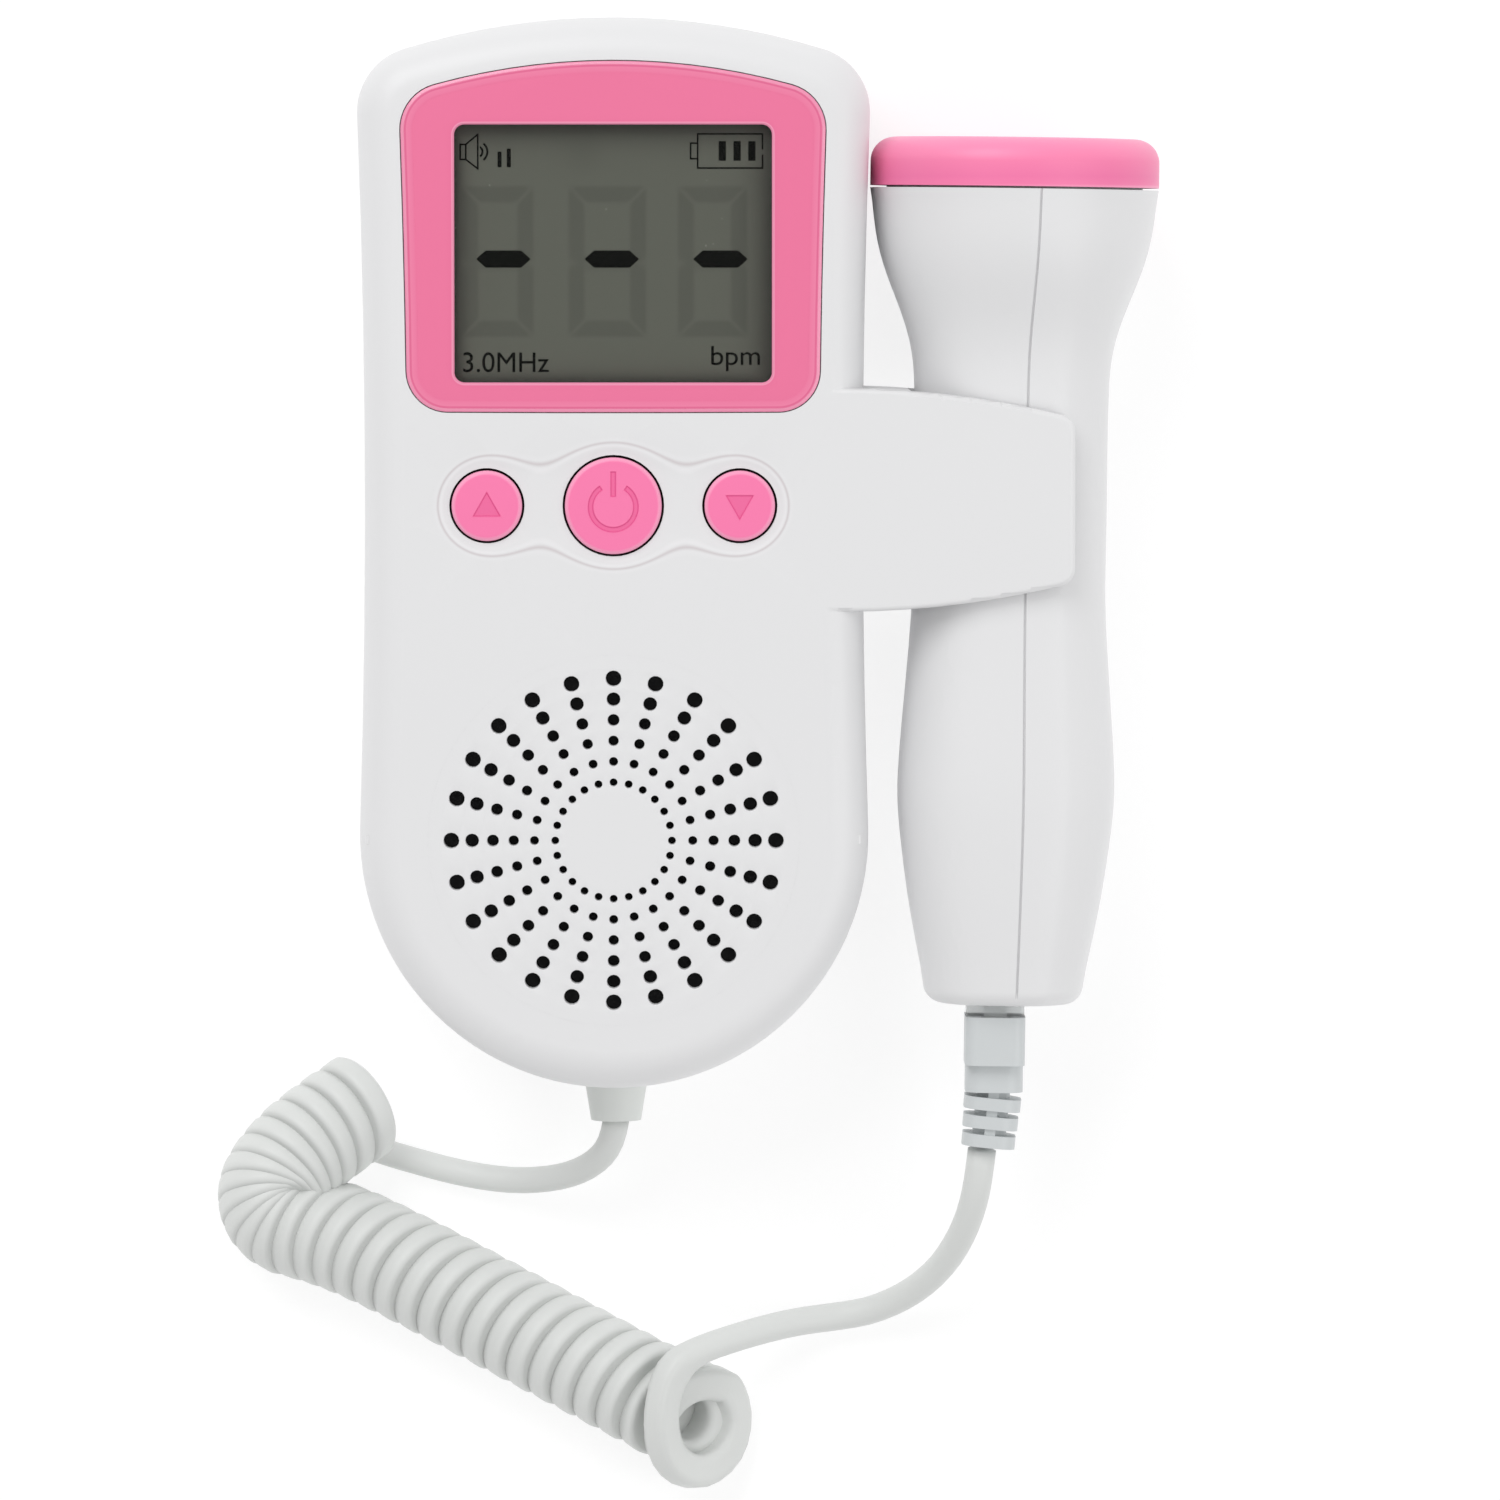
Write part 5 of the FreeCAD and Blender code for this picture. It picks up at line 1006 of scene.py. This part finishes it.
@dataclass
class Display:
    """The display: the grey-green face, its signs, and the clear lens."""

    surface: float = 0.0325
    left: float = -0.0238
    right: float = 0.0238
    low: float = 0.0199
    high: float = 0.061
    dash_y: float = 40.55
    dashes: tuple = (-15.04, -0.21, 14.66)
    ghosts: tuple = ((-20.69, -10.93), (-6.13, 4.49), (8.84, 18.29))
    ghost_y: tuple = (29.93, 50.48)
    segment: float = 2.2
    sign_gap: float = 0.00004
    rim_gap: float = 0.00003
    # Rows of offset, painted highlight and painted shade, for the bezel's outer edge and its window edge.
    outer_rows: tuple = ((0.0, 0.1, 0.1), (0.00008, 0.0, 0.5), (0.0002, 0.0, 0.4), (0.0003, 0.14, 0.0),
                         (0.0008, 0.08, 0.0), (0.0011, 0.0, 0.0))
    inner_rows: tuple = ((0.0, 0.7, 0.0), (0.00012, 0.4, 0.0), (0.00024, 0.0, 0.1), (0.0007, 0.0, 0.0))

    def shade(self, x: Array, y: Array) -> Array:
        """Return how dark the face is at each place: the rim's shadow and the faint idle segments.

        An idle figure is the band between a rounded box and a smaller one, cut by its middle bar.
        """
        near = np.minimum.reduce([(x + 21.7) / 1.6, (21.7 - x) / 3.6, (y - 23.7) / 1.6, (58.9 - y) / 3.2])
        soft, rim, ghost, middle_bar, spot, darkest = 0.5, 0.62, 0.22, 0.55, 0.10, 0.85
        total = rim * np.exp(-np.clip(near, 0, None) ** 1.3 * 1.6)
        low, high = self.ghost_y
        middle = (low + high) / 2 - 0.2
        for a, b in self.ghosts:
            inset = np.minimum.reduce([x - a, b - x, y - low, high - y])
            band = np.clip(0.5 + inset / soft, 0, 1) * np.clip(0.5 + (self.segment - inset) / soft, 0, 1)
            inside = np.clip(0.5 + (inset - self.segment) / soft, 0, 1)
            cross = inside * np.clip(0.5 + (self.segment / 2 - np.abs(y - middle)) / soft, 0, 1) * middle_bar
            corner = np.abs(np.minimum(x - a, b - x) - np.minimum(y - low, high - y))
            waist = np.abs(y - middle) + 0.6 * np.minimum(x - a, b - x)
            notch = np.clip(corner / soft, 0.25, 1) * np.clip(waist / 1.1, 0.25, 1)
            total = total + ghost * (band * notch + cross)
        total = total + spot * np.exp(-((x + 4.4) ** 2 + (y - 54.6) ** 2) / 6.0)
        return np.clip(total, 0, darkest)

    def face(self) -> None:
        """Make the display's face: a flat grid with its shade at each point."""
        columns, rows = 220, 190
        x, y = np.meshgrid(np.linspace(self.left, self.right, columns), np.linspace(self.low, self.high, rows))
        points = at_height(np.column_stack([x.ravel(), y.ravel()]), self.surface + 0.00001)
        piece = mesh_object("lcd_face", points, grid_faces(rows, columns), smooth=False)
        carry(piece, "shade", self.shade(x.ravel() / MM, y.ravel() / MM))
        dress(piece, LCD_FACE.build(), "monitor")

    def signs(self) -> list:
        """Return the outlines of the display's signs in millimetres."""
        flat, tip, half = 2.435, 3.735, 1.165
        dash = ((-flat, -half), (flat, -half), (tip, 0.0), (flat, half), (-flat, half), (-tip, 0.0))
        shapes = [[(x + dx, self.dash_y + dy) for dx, dy in dash] for x in self.dashes]
        horn = [(-20.93, 54.15), (-20.17, 54.15), (-18.53, 52.88), (-18.53, 57.57), (-20.17, 56.2),
                (-20.93, 56.2)]
        shapes += [stroke(a, b) for a, b in zip(horn, horn[1:] + horn[:1])]
        shapes += [stroke(horn[1], horn[4]), bow(-18.63, 55.2, 0.75, 58), bow(-18.63, 55.2, 1.42, 52)]
        shapes += [bar(-15.82, -15.28, 53.09, 55.21), bar(-14.56, -14.01, 53.09, 55.62)]
        case = [(20.41, 55.62), (20.41, 57.64), (11.54, 57.64), (11.54, 52.98), (20.41, 52.98), (20.41, 54.7)]
        tip = [(11.54, 56.38), (10.58, 56.38), (10.58, 54.25), (11.54, 54.25)]
        shapes += [stroke(a, b) for path in (case, tip) for a, b in zip(path, path[1:])]
        return shapes + [bar(x, x + 0.99, 53.98, 56.65) for x in (14.42, 16.44, 18.46)]

    def words(self, text: str, name: str, x: tuple, y: tuple) -> Piece:
        """Return a word as a flat mesh that fills a box, its sides in millimetres."""
        curve = bpy.data.curves.new(name, "FONT")
        curve.body = text
        curve.resolution_u = 6
        mesh = evaluated(curve)
        places = places_of(mesh)
        low, high = places.min(0), places.max(0)
        for axis, span in ((0, x), (1, y)):
            share = (places[:, axis] - low[axis]) / (high[axis] - low[axis])
            places[:, axis] = (span[0] + share * (span[1] - span[0])) * MM
        places[:, 2] = self.surface + self.sign_gap
        mesh.vertices.foreach_set("co", places.ravel())
        mesh.update()
        return linked(name, mesh)

    def rims(self, bezel: Piece, pink: bpy.types.Material) -> None:
        """Lay a thin strip along each edge of the bezel's flat top, which carries painted light.

        Each row is the edge's loop moved inwards by the row's offset, along the mean of its two
        sides' normals; the rows carry the pale painted highlight and the deep painted shade of the pink.
        """
        level, depth, outer_span = 0.999, 2e-5, 0.045
        work = bmesh.new()
        work.from_mesh(bezel.data)
        top = max(v.co.z for v in work.verts)
        flat = [f for f in work.faces if f.normal.z > level and f.calc_center_median().z > top - depth]
        inside, ahead = set(flat), {}
        for face in flat:
            for corner in face.loops:
                if len(inside.intersection(corner.edge.link_faces)) == 1:
                    ahead[corner.vert.index] = corner.link_loop_next.vert.index
        places = np.array([v.co for v in work.verts])
        work.free()
        points, faces, pale, deep = [], [], [], []
        while ahead:
            first = next(iter(ahead))
            loop, index = [], first
            while index in ahead:
                loop.append(index)
                index = ahead.pop(index)
            line = places[loop][:, :2]
            side = np.roll(line, -1, axis=0) - line
            side = side[:, ::-1] * (-1, 1) / np.maximum(np.linalg.norm(side, axis=1), 1e-9)[:, None]
            inward = side + np.roll(side, 1, axis=0)
            inward /= np.sum(inward * side, axis=1)[:, None]
            outer = np.ptp(line[:, 1]) > outer_span
            for k, (offset, light, dark) in enumerate(self.outer_rows if outer else self.inner_rows):
                ring = line + inward * offset
                points.append(at_height(ring, top + 0.00001))
                pale += [light] * len(ring)
                deep += [dark] * len(ring)
                if k:
                    start = sum(map(len, points[:-2]))
                    faces += (grid_faces(2, len(ring), wrap_columns=True) + start).tolist()
        strip = mesh_object("bezel_edge_light", np.vstack(points), faces)
        face_up(strip)
        carry(strip, "pale", pale)
        carry(strip, "deep", deep)
        dress(strip, pink, "monitor")

    def build(self) -> None:
        """Make and dress the display."""
        self.face()
        dark = SEGMENT.build()
        shapes = self.signs()
        starts = np.cumsum([0] + [len(shape) for shape in shapes])
        flat = np.array([p for shape in shapes for p in shape]) * MM
        points = at_height(flat, self.surface + self.sign_gap)
        faces = [list(range(a, b)) for a, b in zip(starts, starts[1:])]
        signs = mesh_object("lcd_signs", points, faces, smooth=False)
        face_up(signs)
        dress(signs, dark, "monitor")
        for text, name, x, y in (("3.0MHz", "lcd_frequency", (-20.58, -8.84), (25.07, 27.81)),
                                 ("bpm", "lcd_rate_unit", (13.39, 20.07), (25.21, 28.67))):
            dress(self.words(text, name, x, y), dark, "monitor")
        dress(refined("display_lens", "lens_skin"), LENS.build(), "monitor")
        bezel = refined("display_bezel", "bezel_skin")
        top = max(v.co.z for v in bezel.data.vertices)
        pink = replace(PINK_RIM, flat=top - self.rim_gap).build()
        dress(bezel, pink, "monitor")
        self.rims(bezel, pink)


# ---- Housing, probe and cable ends -----------------------------------------------------------
@dataclass
class Covers:
    """The housing's covers, the probe's shells and the pieces at the cord's ends."""

    shown: tuple = (
        ("front_cover", "front_cover_skin", "monitor", "housing", FACE),
        ("rear_cover", "rear_cover_skin", "monitor", "housing", HOUSING),
        ("battery_door", "battery_door_skin", "door", "housing", HOUSING),
        ("probe_shell_left", "probe_left_skin", "probe", "housing", HOUSING),
        ("probe_shell_right", "probe_right_skin", "probe", "housing", HOUSING),
        ("probe_cap", "cap_skin", "probe", "pink_gloss", PINK_CAP),
        ("cable_gland", "gland_skin", "monitor", "cord_rubber", GLAND_RUBBER),
        ("plug_boot", "boot_skin", "plug", "cord_rubber", BOOT_RUBBER),
        ("plug_body", "plug_skin", "plug", "clear_plastic", CLEAR),
    )

    def build(self) -> dict:
        """Make and dress each piece, and return them by node."""
        made, materials = {}, {}
        for node, name, body, slot, finish in self.shown:
            if isinstance(finish, CapFinish):
                reach = [v.co.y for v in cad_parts[node].data.vertices]
                finish = replace(finish, low=min(reach), high=max(reach))
            if finish.name not in materials:
                materials[finish.name] = finish.build()
            made[node] = dress(refined(node, name), materials[finish.name], body)
        return made


def dress_inner_pieces() -> None:
    """Give the nodes inside the housing and the probe their materials through their objects' slots."""
    for names, finish in INNER_FINISHES.items():
        material = finish.build()
        for name in names:
            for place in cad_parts[name].material_slots:
                place.link = "OBJECT"
                place.material = material
            log.info("node %s: finish %s", name, material.name)


def main() -> None:
    """Build every piece in order."""
    logging.basicConfig(level=logging.INFO, format="%(message)s")
    Studio().build()
    ends = Covers().build()
    on_cord = [ends[node] for node in ("cable_gland", "plug_boot", "plug_body")]
    CurlyCord().build(on_cord + [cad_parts["plug_contacts"]])
    Grille().build()
    keycap_pink = KEYCAP.build()
    for cap in KEYCAPS:
        cap.build(keycap_pink)
    Display().build()
    dress_inner_pieces()


if __name__ == "__main__":
    main()
